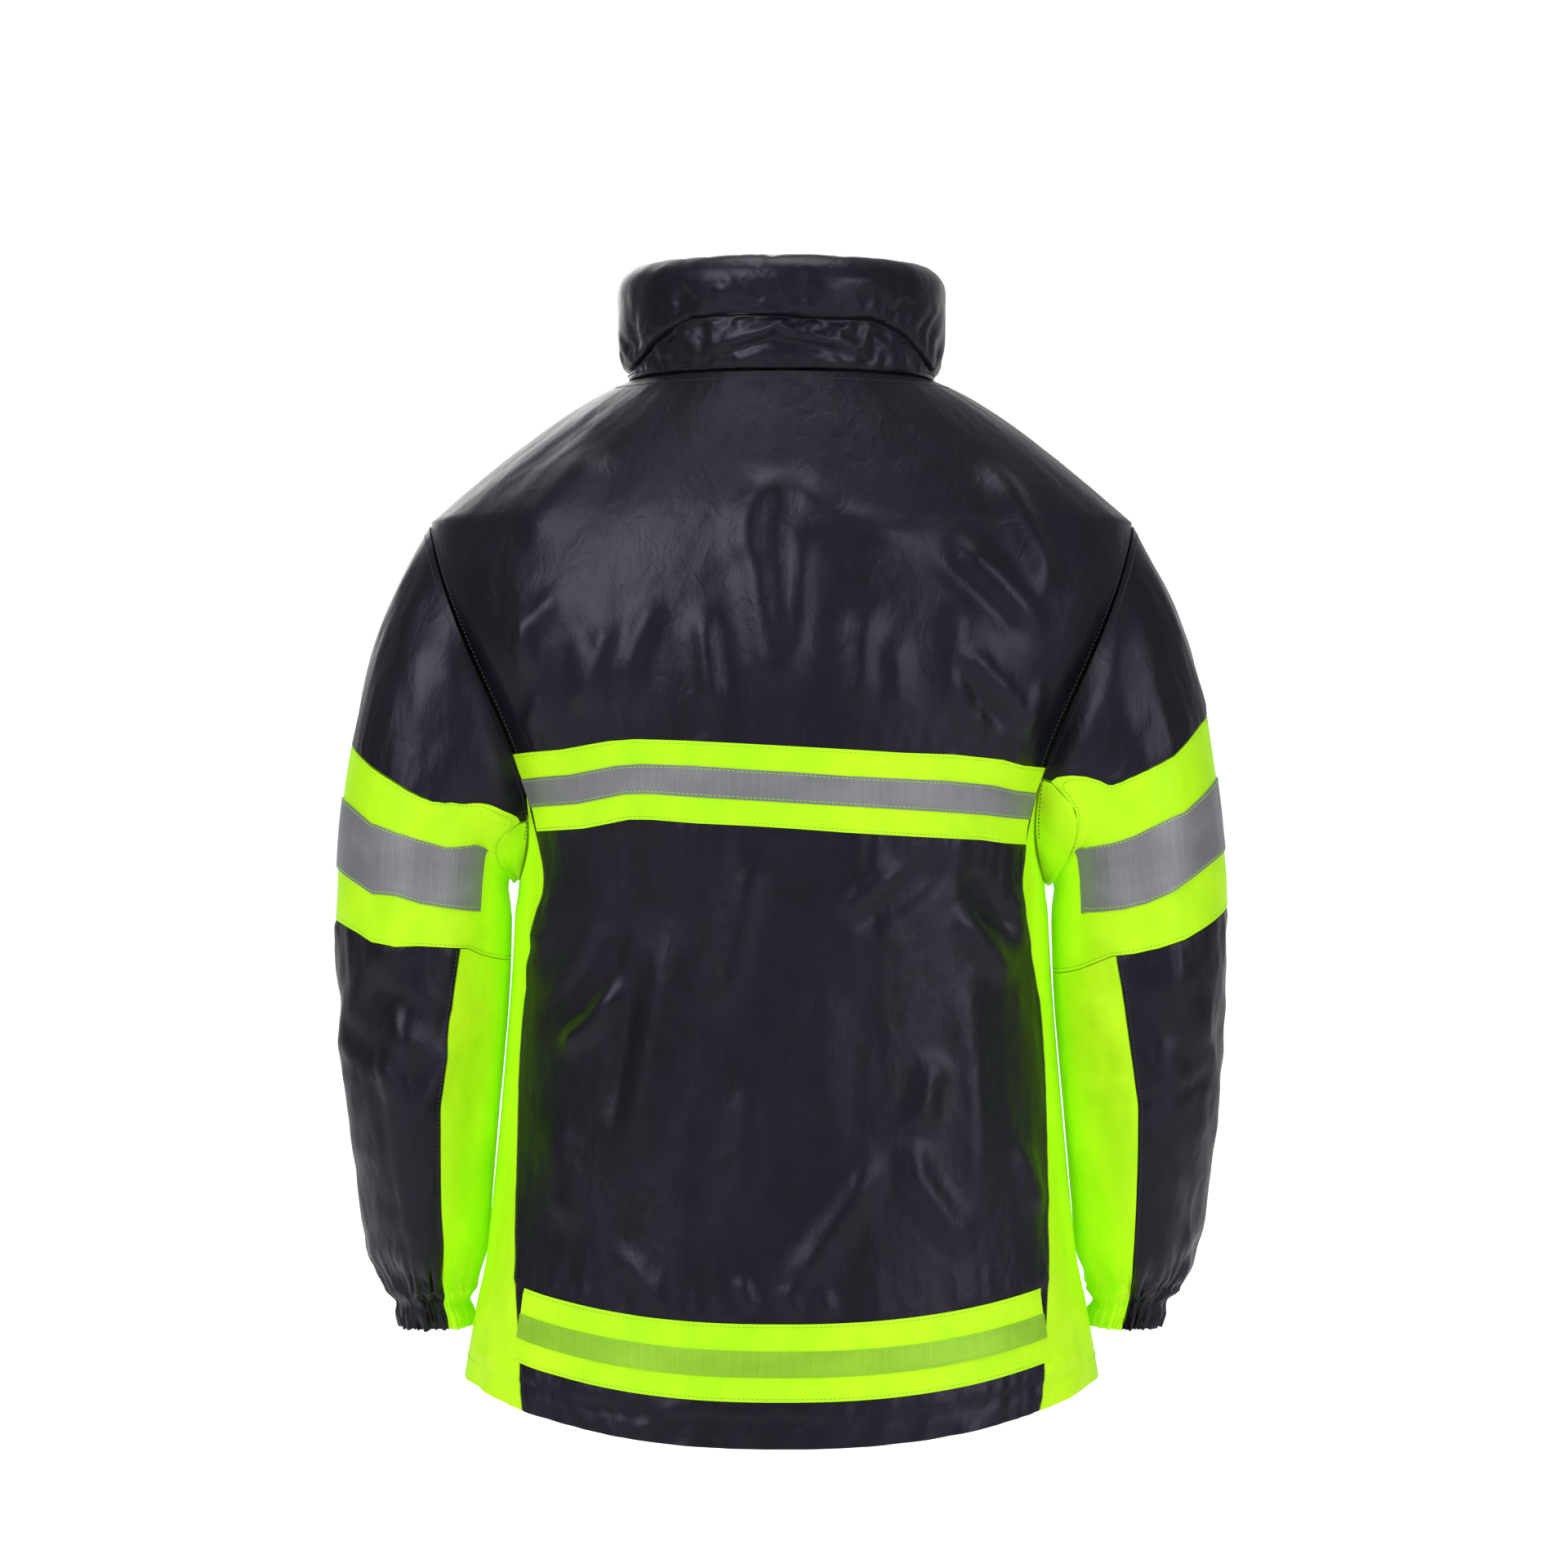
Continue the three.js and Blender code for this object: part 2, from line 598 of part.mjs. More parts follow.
add(
  "hood_zip_slider",
  join(
    hoodArc(
      hoodSliderAt - HOOD_SLIDER_HALF, hoodSliderAt + HOOD_SLIDER_HALF,
      -hoodHalf, hoodHalf, hoodSliderFoot, hoodSliderFoot + 2, 2,
    ),
    hoodArc(
      hoodSliderAt - hoodTab, hoodSliderAt + hoodTab,
      -HOOD_PULL_LENGTH, 1, hoodSliderFoot + 1.5, hoodSliderFoot + 3, 2,
    ),
  ),
  METAL,
);

// ---- Front zip: a tape and a chain on each side, in the gap between the front panels ----
const zipBottom = -HEM_DROP + ZIP_BOTTOM_RISE;
const zipTop = COLLAR_HEIGHT - capRadius - ZIP_TOP_SPACE;
const zipTapeFace = -SHELL - ZIP_SEAT;

function zipSheet(side, x0, x1, z0, z1, inner, outer, nx, nz) {
  return sheet(
    (u, v, w) => {
      const z = lerp(z0, z1, v);
      return onBody(side * frontT(lerp(x0, x1, u), z), z, lerp(inner, outer, w));
    },
    nx,
    nz,
  );
}

for (const [name, side] of Object.entries(SIDES)) {
  add(
    `${name}_front_zip`,
    join(
      zipSheet(side, CHAIN_IN + 0.5, TAPE_REACH, zipBottom, zipTop, zipTapeFace - ZIP_TAPE, zipTapeFace, 2, 8),
      zipSheet(side, CHAIN_IN, CHAIN_OUT, zipBottom, zipTop, CHAIN_FACE - CHAIN_THICK, CHAIN_FACE, 1, 8),
    ),
    BLACK_PLASTIC,
  );
}

// Pieces on the closed front stand in its own leaning frame: x across, -y out of the front, z up the zip.
const leanAngle = Math.atan(FRONT_LEAN);
function frontFrame(drop) {
  const z = -drop;
  return new THREE.Matrix4()
    .makeRotationX(-leanAngle)
    .setPosition(0, -frontDepth(z), z);
}
const box = (x0, x1, out0, out1, z0, z1) =>
  new THREE.BoxGeometry(x1 - x0, out1 - out0, z1 - z0)
    .translate((x0 + x1) / 2, -(out0 + out1) / 2, (z0 + z1) / 2);

const plateHalf = SLIDER_WIDTH / 2;
const frontPlate = CHAIN_FACE + SLIDER_CLEARANCE;
const backPlate = CHAIN_FACE - CHAIN_THICK - SLIDER_CLEARANCE;
const faceOut = frontPlate + SLIDER_PLATE;
const pinOut = faceOut + PIN_STANDOFF;
const sliderTop = zipTop - 2;
const pinDown = 4; // the pin's depth below the slider's top
const EAR = 1.5;
const sliderPin = new THREE.CylinderGeometry(PIN_RADIUS, PIN_RADIUS, PULL_WIDTH / 2 + 2 * EAR, 12)
  .rotateZ(Math.PI / 2)
  .translate(0, -pinOut, -pinDown);
const earGap = PULL_WIDTH / 4 + 0.4;
const ear = (x) =>
  box(x, x + EAR, faceOut - 0.5, pinOut + PIN_RADIUS, -pinDown - 1.6, -pinDown + 1.6);
add(
  "front_zip_slider",
  join(
    box(-plateHalf, plateHalf, frontPlate, faceOut, -SLIDER_LENGTH, 0),
    box(-plateHalf, plateHalf, backPlate - SLIDER_PLATE, backPlate, -SLIDER_LENGTH, 0),
    box(-SLIDER_POST / 2, SLIDER_POST / 2, backPlate - 0.5, frontPlate + 0.5, -SLIDER_LENGTH, 0),
    ear(earGap),
    ear(-earGap - EAR),
    sliderPin,
  ),
  METAL,
).applyMatrix4(frontFrame(-sliderTop));

const PULL_EYE = PIN_RADIUS + 0.35; // running room round the pin
const neckHalf = PULL_WIDTH / 4;
const pullOutline = new THREE.Shape([
  [-neckHalf, -1.2], [-PULL_WIDTH / 2, -6], [-PULL_WIDTH / 2, -PULL_LENGTH + 2],
  [-PULL_WIDTH / 2 + 2, -PULL_LENGTH], [PULL_WIDTH / 2 - 2, -PULL_LENGTH],
  [PULL_WIDTH / 2, -PULL_LENGTH + 2], [PULL_WIDTH / 2, -6], [neckHalf, -1.2],
].map(([x, y]) => new THREE.Vector2(x, y)));
const pullPlate = new THREE.ExtrudeGeometry(pullOutline, { depth: PULL_THICK, bevelEnabled: false })
  .rotateX(Math.PI / 2)
  .translate(0, -pinOut + PULL_THICK / 2, -pinDown);
const pullBarrel = new THREE.CylinderGeometry(PULL_EYE + 0.8, PULL_EYE + 0.8, 2 * neckHalf, 16)
  .rotateZ(Math.PI / 2)
  .translate(0, -pinOut, -pinDown);
const pullBore = new THREE.CylinderGeometry(PULL_EYE, PULL_EYE, 4 * neckHalf, 16)
  .rotateZ(Math.PI / 2)
  .translate(0, -pinOut, -pinDown);
add("zip_pull", cut(join(pullPlate, pullBarrel), pullBore), METAL).applyMatrix4(frontFrame(-sliderTop));

// The box at the zip's foot, which the loose half's pin goes into.
add(
  "zip_retainer_box",
  box(-6, 6, CHAIN_FACE - CHAIN_THICK, CHAIN_FACE, -11, -SEAM_GAP),
  METAL,
).applyMatrix4(frontFrame(-zipBottom));

// ---- Storm flap: it stands over the zip, and folds back about a line on the left front ----
const flapTop = -FLAP_TOP;
const flapBottom = -HEM_DROP + 4;
// The flap's height off the front: down at its fold line and free edge, up over the zip.
function flapRise(x) {
  const fold = FLAP_HINGE_X - FLAP_INSET;
  const up = (fold - x) / 10;
  return lerp(FLAP_SEAT, FLAP_RISE, ease(up));
}
const signedFrontT = (x, z) => (x < 0 ? -frontT(-x, z) + 2 * Math.PI : frontT(x, z));
add(
  "storm_flap",
  sheet(
    (u, v, w) => {
      const x = lerp(FLAP_FREE_X, FLAP_HINGE_X - FLAP_INSET, u);
      const z = lerp(flapBottom, flapTop, v);
      return onBody(signedFrontT(x, z), z, flapRise(x) + w * FLAP_THICK);
    },
    8,
    6,
  ),
  NAVY,
);

SNAP_DROPS.forEach((drop, i) => {
  const seat = -frontDepth(-drop);
  const surface = onBody(signedFrontT(SNAP_X, -drop), -drop, 0);
  const sink = surface.y - seat; // the front curves back at the snap's x
  const disc = (radius, out0, out1) =>
    new THREE.CylinderGeometry(radius, radius, out1 - out0, 16)
      .translate(SNAP_X, -(out0 + out1) / 2 + sink, 0);
  const capFoot = FLAP_RISE + FLAP_THICK + 0.6;
  add(`snap_cap_${i + 1}`, disc(SNAP_RADIUS, capFoot, capFoot + SNAP_HEIGHT), METAL)
    .applyMatrix4(frontFrame(drop));
  add(`snap_stud_${i + 1}`, disc(STUD_RADIUS, 0.6 + TRIM_SEAT, FLAP_RISE - 1), METAL)
    .applyMatrix4(frontFrame(drop));
});

// ---- Bellows pockets and their flaps ----
const pocketSheet = (side, x0, x1, z0, z1, out0, out1, nx, nz) =>
  sheet(
    (u, v, w) => {
      const z = lerp(z0, z1, v);
      return onBody(side * frontT(lerp(x0, x1, u), z), z, lerp(out0, out1, w));
    },
    nx,
    nz,
  );
const pocketLow = -POCKET_TOP - POCKET_DEEP;
const pocketFace = TRIM_SEAT + POCKET_PLEAT;
for (const [name, side] of Object.entries(SIDES)) {
  add(
    `${name}_pocket`,
    cut(
      pocketSheet(side, POCKET_IN, POCKET_OUT, pocketLow, -POCKET_TOP, TRIM_SEAT, pocketFace, 6, 4),
      pocketSheet(
        side, POCKET_IN + POCKET_WALL, POCKET_OUT - POCKET_WALL,
        pocketLow + POCKET_WALL, -POCKET_TOP + 5, TRIM_SEAT - 2, pocketFace - POCKET_WALL, 6, 4,
      ),
    ),
    NAVY,
  );
  // The flap is sewn on above the pocket, and hangs over its mouth.
  add(
    `${name}_pocket_flap`,
    sheet(
      (u, v, w) => {
        const rise = clamp((v - FLAP_BEND) / (1 - FLAP_BEND), 0, 1);
        const out = lerp(pocketFace + 0.8, 1.2, rise);
        const over = -POCKET_TOP + 2;
        const z = v < FLAP_BEND
          ? lerp(-POCKET_TOP - POCKET_FLAP_LENGTH, over, v / FLAP_BEND)
          : lerp(over, -POCKET_TOP + POCKET_HINGE_RISE, rise);
        const x = lerp(POCKET_IN - 3, POCKET_OUT + 3, u);
        return onBody(side * frontT(x, z), z, out + w * POCKET_FLAP_THICK);
      },
      6,
      5,
    ),
    NAVY,
  );
}

// ---- Hanging loop and size label, inside the back neck ----
const facingY = (x) => centreY(LOOP_HEIGHT) + Math.sqrt((NECK_RADIUS - COLLAR_THICK) ** 2 - x * x);
const loopRadius = (LOOP_HALF ** 2 + LOOP_SAGITTA ** 2) / (2 * LOOP_SAGITTA);
const loopSweep = Math.asin(LOOP_HALF / loopRadius);
const loopShape = new THREE.Shape()
  .absarc(0, 0, loopRadius, Math.PI / 2 - loopSweep, Math.PI / 2 + loopSweep, false)
  .absarc(0, 0, loopRadius - LOOP_STRAP, Math.PI / 2 + loopSweep, Math.PI / 2 - loopSweep, true);
add(
  "hanging_loop",
  mapped(
    new THREE.ExtrudeGeometry(loopShape, { depth: LOOP_WIDTH, bevelEnabled: false, curveSegments: 8 }),
    (p) => p.set(p.x, facingY(LOOP_HALF) - LOOP_SEAT + loopRadius - LOOP_SAGITTA - p.y, p.z + LOOP_HEIGHT),
  ),
  NAVY,
);
add(
  "size_label",
  sheet(
    (u, v, w) => {
      const z = -LABEL_DROP - LABEL_HEIGHT * (1 - v);
      const t = backT(LABEL_HALF, z);
      return onBody(lerp(-t, t, u), z, liningInner - LABEL_SEAT - 0.6 * (1 - w));
    },
    4,
    2,
  ),
  LABEL_WHITE,
);

// ---- Sleeves ----
const innerX = (drop) => sideHalf(-drop) + SLEEVE_CLEARANCE;
const station = (outX, outDrop, inX, inDrop, depth, y) => ({
  outer: new THREE.Vector3(outX, y, -outDrop),
  inner: new THREE.Vector3(inX, y, -inDrop),
  depth,
});
const armpitBelow = ARMPIT_DROP + 4;
const stations = [
  station(SHOULDER_HALF, SHOULDER_DROP, ARMPIT_HALF, ARMPIT_DROP, ARMHOLE_DEPTH, 0),
  station(UPPER_ARM_X, UPPER_ARM_DROP, ARMPIT_HALF + 4, ARMPIT_DROP + 2, ARMHOLE_DEPTH + 1, 1),
  station(BAND_TOP_X, BAND_TOP_DROP, ARMPIT_HALF + 8, armpitBelow, ARMHOLE_DEPTH, 3),
  station(BAND_BOTTOM_X, BAND_BOTTOM_DROP, innerX(BAND_BOTTOM_DROP + BAND_SLANT),
    BAND_BOTTOM_DROP + BAND_SLANT, ARMHOLE_DEPTH - 3, 6),
  station(FOREARM_X, FOREARM_DROP, innerX(FOREARM_DROP + 14), FOREARM_DROP + 14, ARMHOLE_DEPTH - 9, 4),
  station(lerp(FOREARM_X, LOW_ARM_X, 0.45), lerp(FOREARM_DROP, WRIST_DROP, 0.46),
    innerX(FOREARM_DROP + 70), lerp(FOREARM_DROP, WRIST_DROP, 0.5), ARMHOLE_DEPTH - 16, -4),
  station(LOW_ARM_X, WRIST_DROP - 28, innerX(WRIST_DROP - 26), WRIST_DROP - 26, ARMHOLE_DEPTH - 24, -12),
  station(WRIST_X, WRIST_DROP, CUFF_X - CUFF_HALF + 1, WRIST_DROP, CUFF_DEPTH + 8, WRIST_FORWARD + 5),
  station(CUFF_X + CUFF_HALF, CUFF_DROP, CUFF_X - CUFF_HALF, CUFF_DROP, CUFF_DEPTH, WRIST_FORWARD),
];
const curve = (pick) => new THREE.CatmullRomCurve3(stations.map(pick), false, "catmullrom", 0.5);
const outerCurve = curve((s) => s.outer);
const innerCurve = curve((s) => s.inner);
const depthCurve = curve((s) => new THREE.Vector3(s.depth, 0, 0));

// The armhole's own point at phi, taken from the body, so that the sleeve starts on its seam.
function armholePoint(phi) {
  const z = clamp(armholeMiddle + armholeHalf * Math.cos(phi), -ARMPIT_DROP + 1e-3, -SHOULDER_DROP - 1e-3);
  const t = backT(armholeX(z), z);
  return bodySurface(Math.sin(phi) >= 0 ? t : Math.PI - t, z);
}

// phi runs from the sleeve's outer edge, 0, over its back, 90 degrees, to its inner edge; s counts stations.
function ellipsePoint(phi, s) {
  const share = clamp(s / (stations.length - 1), 0, 1);
  const outer = outerCurve.getPoint(share);
  const inner = innerCurve.getPoint(share);
  const depth = depthCurve.getPoint(share).x;
  return new THREE.Vector3()
    .lerpVectors(inner, outer, (1 + Math.cos(phi)) / 2)
    .add(new THREE.Vector3(0, depth * Math.sin(phi), 0));
}
function sleeveSurface(phi, s) {
  const point = ellipsePoint(phi, s);
  if (s >= 1) return point;
  const correction = armholePoint(phi).sub(ellipsePoint(phi, 0));
  return point.addScaledVector(correction, (1 - s) ** 2);
}
const onSleeve = (phi, s, level) => offset(sleeveSurface, phi, s, level, { dv: 0.02, sign: 1 });

const mirrored = (point, side) => new THREE.Vector3(point.x * side, point.y, point.z);

// Part of the sleeve from phi0(s) to phi1(s), in degrees.
function sleeveSheet(side, phi0, phi1, s0, s1, inner, outer, nu, nv) {
  return sheet(
    (u, v, w) => {
      const s = lerp(s0, s1, v);
      const phi = degToRad(lerp(phi0(s), phi1(s), u));
      return mirrored(onSleeve(phi, s, lerp(inner, outer, w)), side);
    },
    nu,
    nv,
  );
}
const sleeveTube = (side, steps, inner, outer) =>
  tube(
    (u, v, w) => {
      const s = steps[Math.round(v * (steps.length - 1))];
      return mirrored(onSleeve(2 * Math.PI * u, s, lerp(inner, outer, w)), side);
    },
    TUBE_COLUMNS,
    steps.length - 1,
  );

const SLEEVE_START = 0.06;
const STEP = 0.008; // the gap between sleeve pieces, in stations
const SEAM_DEGREES = 0.6;
const BAND_SPLIT = 0.02;
const TUBE_COLUMNS = 20;
const tapeFrom = lerp(BAND_TOP, BAND_BOTTOM, TAPE_FROM);
const tapeTo = lerp(BAND_TOP, BAND_BOTTOM, TAPE_TO);

for (const [name, side] of Object.entries(SIDES)) {
  // The underarm panel narrows from the band to its width on the forearm.
  const underarm = (top, low) => (s) =>
    lerp(top, low, clamp((s - BAND_BOTTOM) / (FOREARM_TOP - BAND_BOTTOM), 0, 1));
  const back = underarm(UNDERARM_FROM, UNDERARM_BELOW[name]);
  const front = underarm(UNDERARM_FROM, UNDERARM_FRONT);
  const panels = (s0, s1, nv, outerName, innerName) => {
    const seam = (edge) => (s) => (s < BAND_TOP ? GUSSET_EDGE : edge(s));
    const [backSeam, frontSeam] = [seam(back), seam(front)];
    const outerFrom = (s) => -frontSeam(s) + SEAM_DEGREES;
    const outerTo = (s) => backSeam(s) - SEAM_DEGREES;
    const innerFrom = (s) => backSeam(s) + SEAM_DEGREES;
    const innerTo = (s) => 360 - frontSeam(s) - SEAM_DEGREES;
    add(`${name}_${outerName}`, sleeveSheet(side, outerFrom, outerTo, s0, s1, -SHELL, 0, 10, nv), NAVY);
    add(`${name}_${innerName}`, sleeveSheet(side, innerFrom, innerTo, s0, s1, -SHELL, 0, 4, nv), LIME);
  };
  panels(SLEEVE_START, BAND_TOP - BAND_SPLIT, 4, "sleeve_head", "underarm_gusset");
  add(`${name}_sleeve_band`, sleeveTube(side, [BAND_TOP, tapeFrom, tapeTo, BAND_BOTTOM], -SHELL, 0), LIME);
  const tapeColumns = (2 * TAPE_END * TUBE_COLUMNS) / 360;
  add(
    `${name}_sleeve_tape`,
    sleeveSheet(side, () => -TAPE_END, () => TAPE_END, tapeFrom, tapeTo,
      TRIM_SEAT, TRIM_SEAT + TRIM, tapeColumns, 1),
    SILVER,
  );
  panels(BAND_BOTTOM + STEP, FOREARM_TOP - STEP, 2, "elbow_panel", "elbow_underarm");
  panels(FOREARM_TOP, CUFF_TOP - 3 * STEP, 4, "forearm_panel", "forearm_underarm");
  const cuffSteps = [CUFF_TOP + STEP, CUFF_BOTTOM];
  add(`${name}_cuff`, sleeveTube(side, cuffSteps, -SHELL - 1, 0), NAVY);
}

export default coat;
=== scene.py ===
"""Dresses a two-tone high-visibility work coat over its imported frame.

Lengths are metres, apart from names that end in _mm. +Z is up, the coat's back faces +Y and +X is the wearer's left.
"""

from __future__ import annotations

import json
import logging
import math
from dataclasses import dataclass, field
from enum import Enum
from typing import Any, Callable, Sequence

import bpy
import numpy as np
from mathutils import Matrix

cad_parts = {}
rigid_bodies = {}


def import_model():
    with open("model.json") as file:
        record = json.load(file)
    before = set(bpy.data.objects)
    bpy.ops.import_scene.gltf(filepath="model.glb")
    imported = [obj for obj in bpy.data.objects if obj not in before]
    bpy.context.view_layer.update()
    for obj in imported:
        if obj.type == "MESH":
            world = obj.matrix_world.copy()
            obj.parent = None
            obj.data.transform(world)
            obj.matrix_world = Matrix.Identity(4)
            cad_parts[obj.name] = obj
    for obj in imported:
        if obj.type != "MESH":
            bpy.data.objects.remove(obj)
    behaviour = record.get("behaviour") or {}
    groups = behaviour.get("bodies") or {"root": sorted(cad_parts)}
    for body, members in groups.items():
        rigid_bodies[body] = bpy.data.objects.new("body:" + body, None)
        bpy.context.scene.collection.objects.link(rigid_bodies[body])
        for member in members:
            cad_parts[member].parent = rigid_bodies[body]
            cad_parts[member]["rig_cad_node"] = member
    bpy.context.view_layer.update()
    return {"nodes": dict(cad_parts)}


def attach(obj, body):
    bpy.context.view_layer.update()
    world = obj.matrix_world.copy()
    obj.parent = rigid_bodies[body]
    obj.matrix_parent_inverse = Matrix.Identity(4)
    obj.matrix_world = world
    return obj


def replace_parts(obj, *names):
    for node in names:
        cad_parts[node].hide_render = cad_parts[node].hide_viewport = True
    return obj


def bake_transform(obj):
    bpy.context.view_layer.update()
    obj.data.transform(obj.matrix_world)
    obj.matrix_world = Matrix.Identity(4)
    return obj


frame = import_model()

LOG = logging.getLogger("coat")
MM = 0.001
Array = np.ndarray
Colour = tuple[float, float, float]
Point = tuple[float, float, float]


class Side(Enum):
    """The wearer's side that a piece is on."""

    LEFT = 1
    RIGHT = -1

    @property
    def word(self) -> str:
        """The side's name in the frame."""
        return self.name.lower()


class Slot(Enum):
    """The record's material slots."""

    NAVY = "navy_fabric"
    LIME = "lime_fabric"
    SILVER = "silver_tape"
    LINING = "lining_fabric"
    METAL = "zip_metal"
    PLASTIC = "zip_plastic"
    LABEL = "label_fabric"


class Coordinates(Enum):
    """What a finish measures its pattern along."""

    CUT = "the cloth's own flat cut, in metres"
    PLACE = "the piece's place"


# ---- Small maths ----
def ease(share: Array | float) -> Array:
    """Goes smoothly from 0 to 1 as share does."""
    u = np.clip(share, 0.0, 1.0)
    return u * u * (3 - 2 * u)


def lerp(a: Any, b: Any, share: Any) -> Any:
    """The value a share of the way from a to b."""
    return a + (b - a) * share


def ruffle(x: Array, y: Array, seed: int) -> Array:
    """Smooth irregular waves about one unit long.

    Args:
        x: First coordinate of each point.
        y: Second coordinate of each point.
        seed: Picks the pattern.

    Returns:
        A value from -1 to 1 for each point.
    """
    x, y = 0.83 * x - 0.56 * y + 17.3 * seed, 0.56 * x + 0.83 * y - 9.1 * seed
    i, j = np.floor(x).astype(np.int64), np.floor(y).astype(np.int64)
    u, v = x - i, y - j
    u, v = u**3 * (u * (6 * u - 15) + 10), v**3 * (v * (6 * v - 15) + 10)

    def corner(a: Array, b: Array) -> Array:
        """The lattice's own value at a corner."""
        h = (a * 374761393 + b * 668265263 + seed * 974634777) & 0xFFFFFFFF
        h = ((h ^ (h >> 13)) * 1274126177) & 0xFFFFFFFF
        return ((h ^ (h >> 16)) & 0xFFFF) / 32767.5 - 1

    low = lerp(corner(i, j), corner(i + 1, j), u)
    return lerp(low, lerp(corner(i, j + 1), corner(i + 1, j + 1), u), v)


@dataclass(frozen=True)
class Profile:
    """A smooth curve through (z, value) stations listed from the top down, and level beyond them."""

    stations: tuple[tuple[float, float], ...]

    def __call__(self, z: Array) -> Array:
        """The curve's value at each z.

        Args:
            z: Height, in mm.

        Returns:
            The value at each height.
        """
        at, value = np.array(self.stations, float).T
        last = len(at) - 1
        above, below = np.maximum(np.arange(last + 1) - 1, 0), np.minimum(np.arange(last + 1) + 1, last)
        slope = (value[below] - value[above]) / (at[below] - at[above])
        i = np.searchsorted(-at[1:last], -np.asarray(z, float), side="left")
        step = at[i + 1] - at[i]
        u = np.clip((z - at[i]) / step, 0, 1)
        ma, mb, rise = slope[i] * step, slope[i + 1] * step, value[i + 1] - value[i]
        return value[i] + u * (ma + u * (3 * rise - 2 * ma - mb + u * (ma + mb - 2 * rise)))


# ---- Shader nodes ----
class Value:
    """A number or colour that a node gives, for use in plain expressions."""

    def __init__(self, shade: "Shade", socket: bpy.types.NodeSocket) -> None:
        """Keeps the socket and the tree that it is in."""
        self.shade, self.socket = shade, socket

    def _math(self, operation: str, *operands: Any) -> "Value":
        """A Math node on the operands."""
        return self.shade.add("ShaderNodeMath", {"operation": operation}, dict(enumerate(operands)))

    def __add__(self, other: Any) -> "Value":
        """Sum."""
        return self._math("ADD", self, other)

    def __radd__(self, other: Any) -> "Value":
        """Sum, the other way round."""
        return self._math("ADD", other, self)

    def __sub__(self, other: Any) -> "Value":
        """Difference."""
        return self._math("SUBTRACT", self, other)

    def __rsub__(self, other: Any) -> "Value":
        """Difference, the other way round."""
        return self._math("SUBTRACT", other, self)

    def __mul__(self, other: Any) -> "Value":
        """Product."""
        return self._math("MULTIPLY", self, other)

    def __rmul__(self, other: Any) -> "Value":
        """Product, the other way round."""
        return self._math("MULTIPLY", other, self)

    def __truediv__(self, other: Any) -> "Value":
        """Quotient."""
        return self._math("DIVIDE", self, other)

    def __rtruediv__(self, other: Any) -> "Value":
        """Quotient, the other way round."""
        return self._math("DIVIDE", other, self)

    def __pow__(self, other: Any) -> "Value":
        """Power."""
        return self._math("POWER", self, other)

    def sine(self) -> "Value":
        """Sine, in radians."""
        return self._math("SINE", self)

    def size(self) -> "Value":
        """The value without its sign."""
        return self._math("ABSOLUTE", self)

    def at_most(self, other: Any) -> "Value":
        """The smaller of the two."""
        return self._math("MINIMUM", self, other)

    def between(self, low: float, high: float) -> "Value":
        """Goes smoothly from 0 at low to 1 at high."""
        return self.shade.add(
            "ShaderNodeMapRange",
            {"interpolation_type": "SMOOTHSTEP"},
            {"Value": self, "From Min": low, "From Max": high},
        )


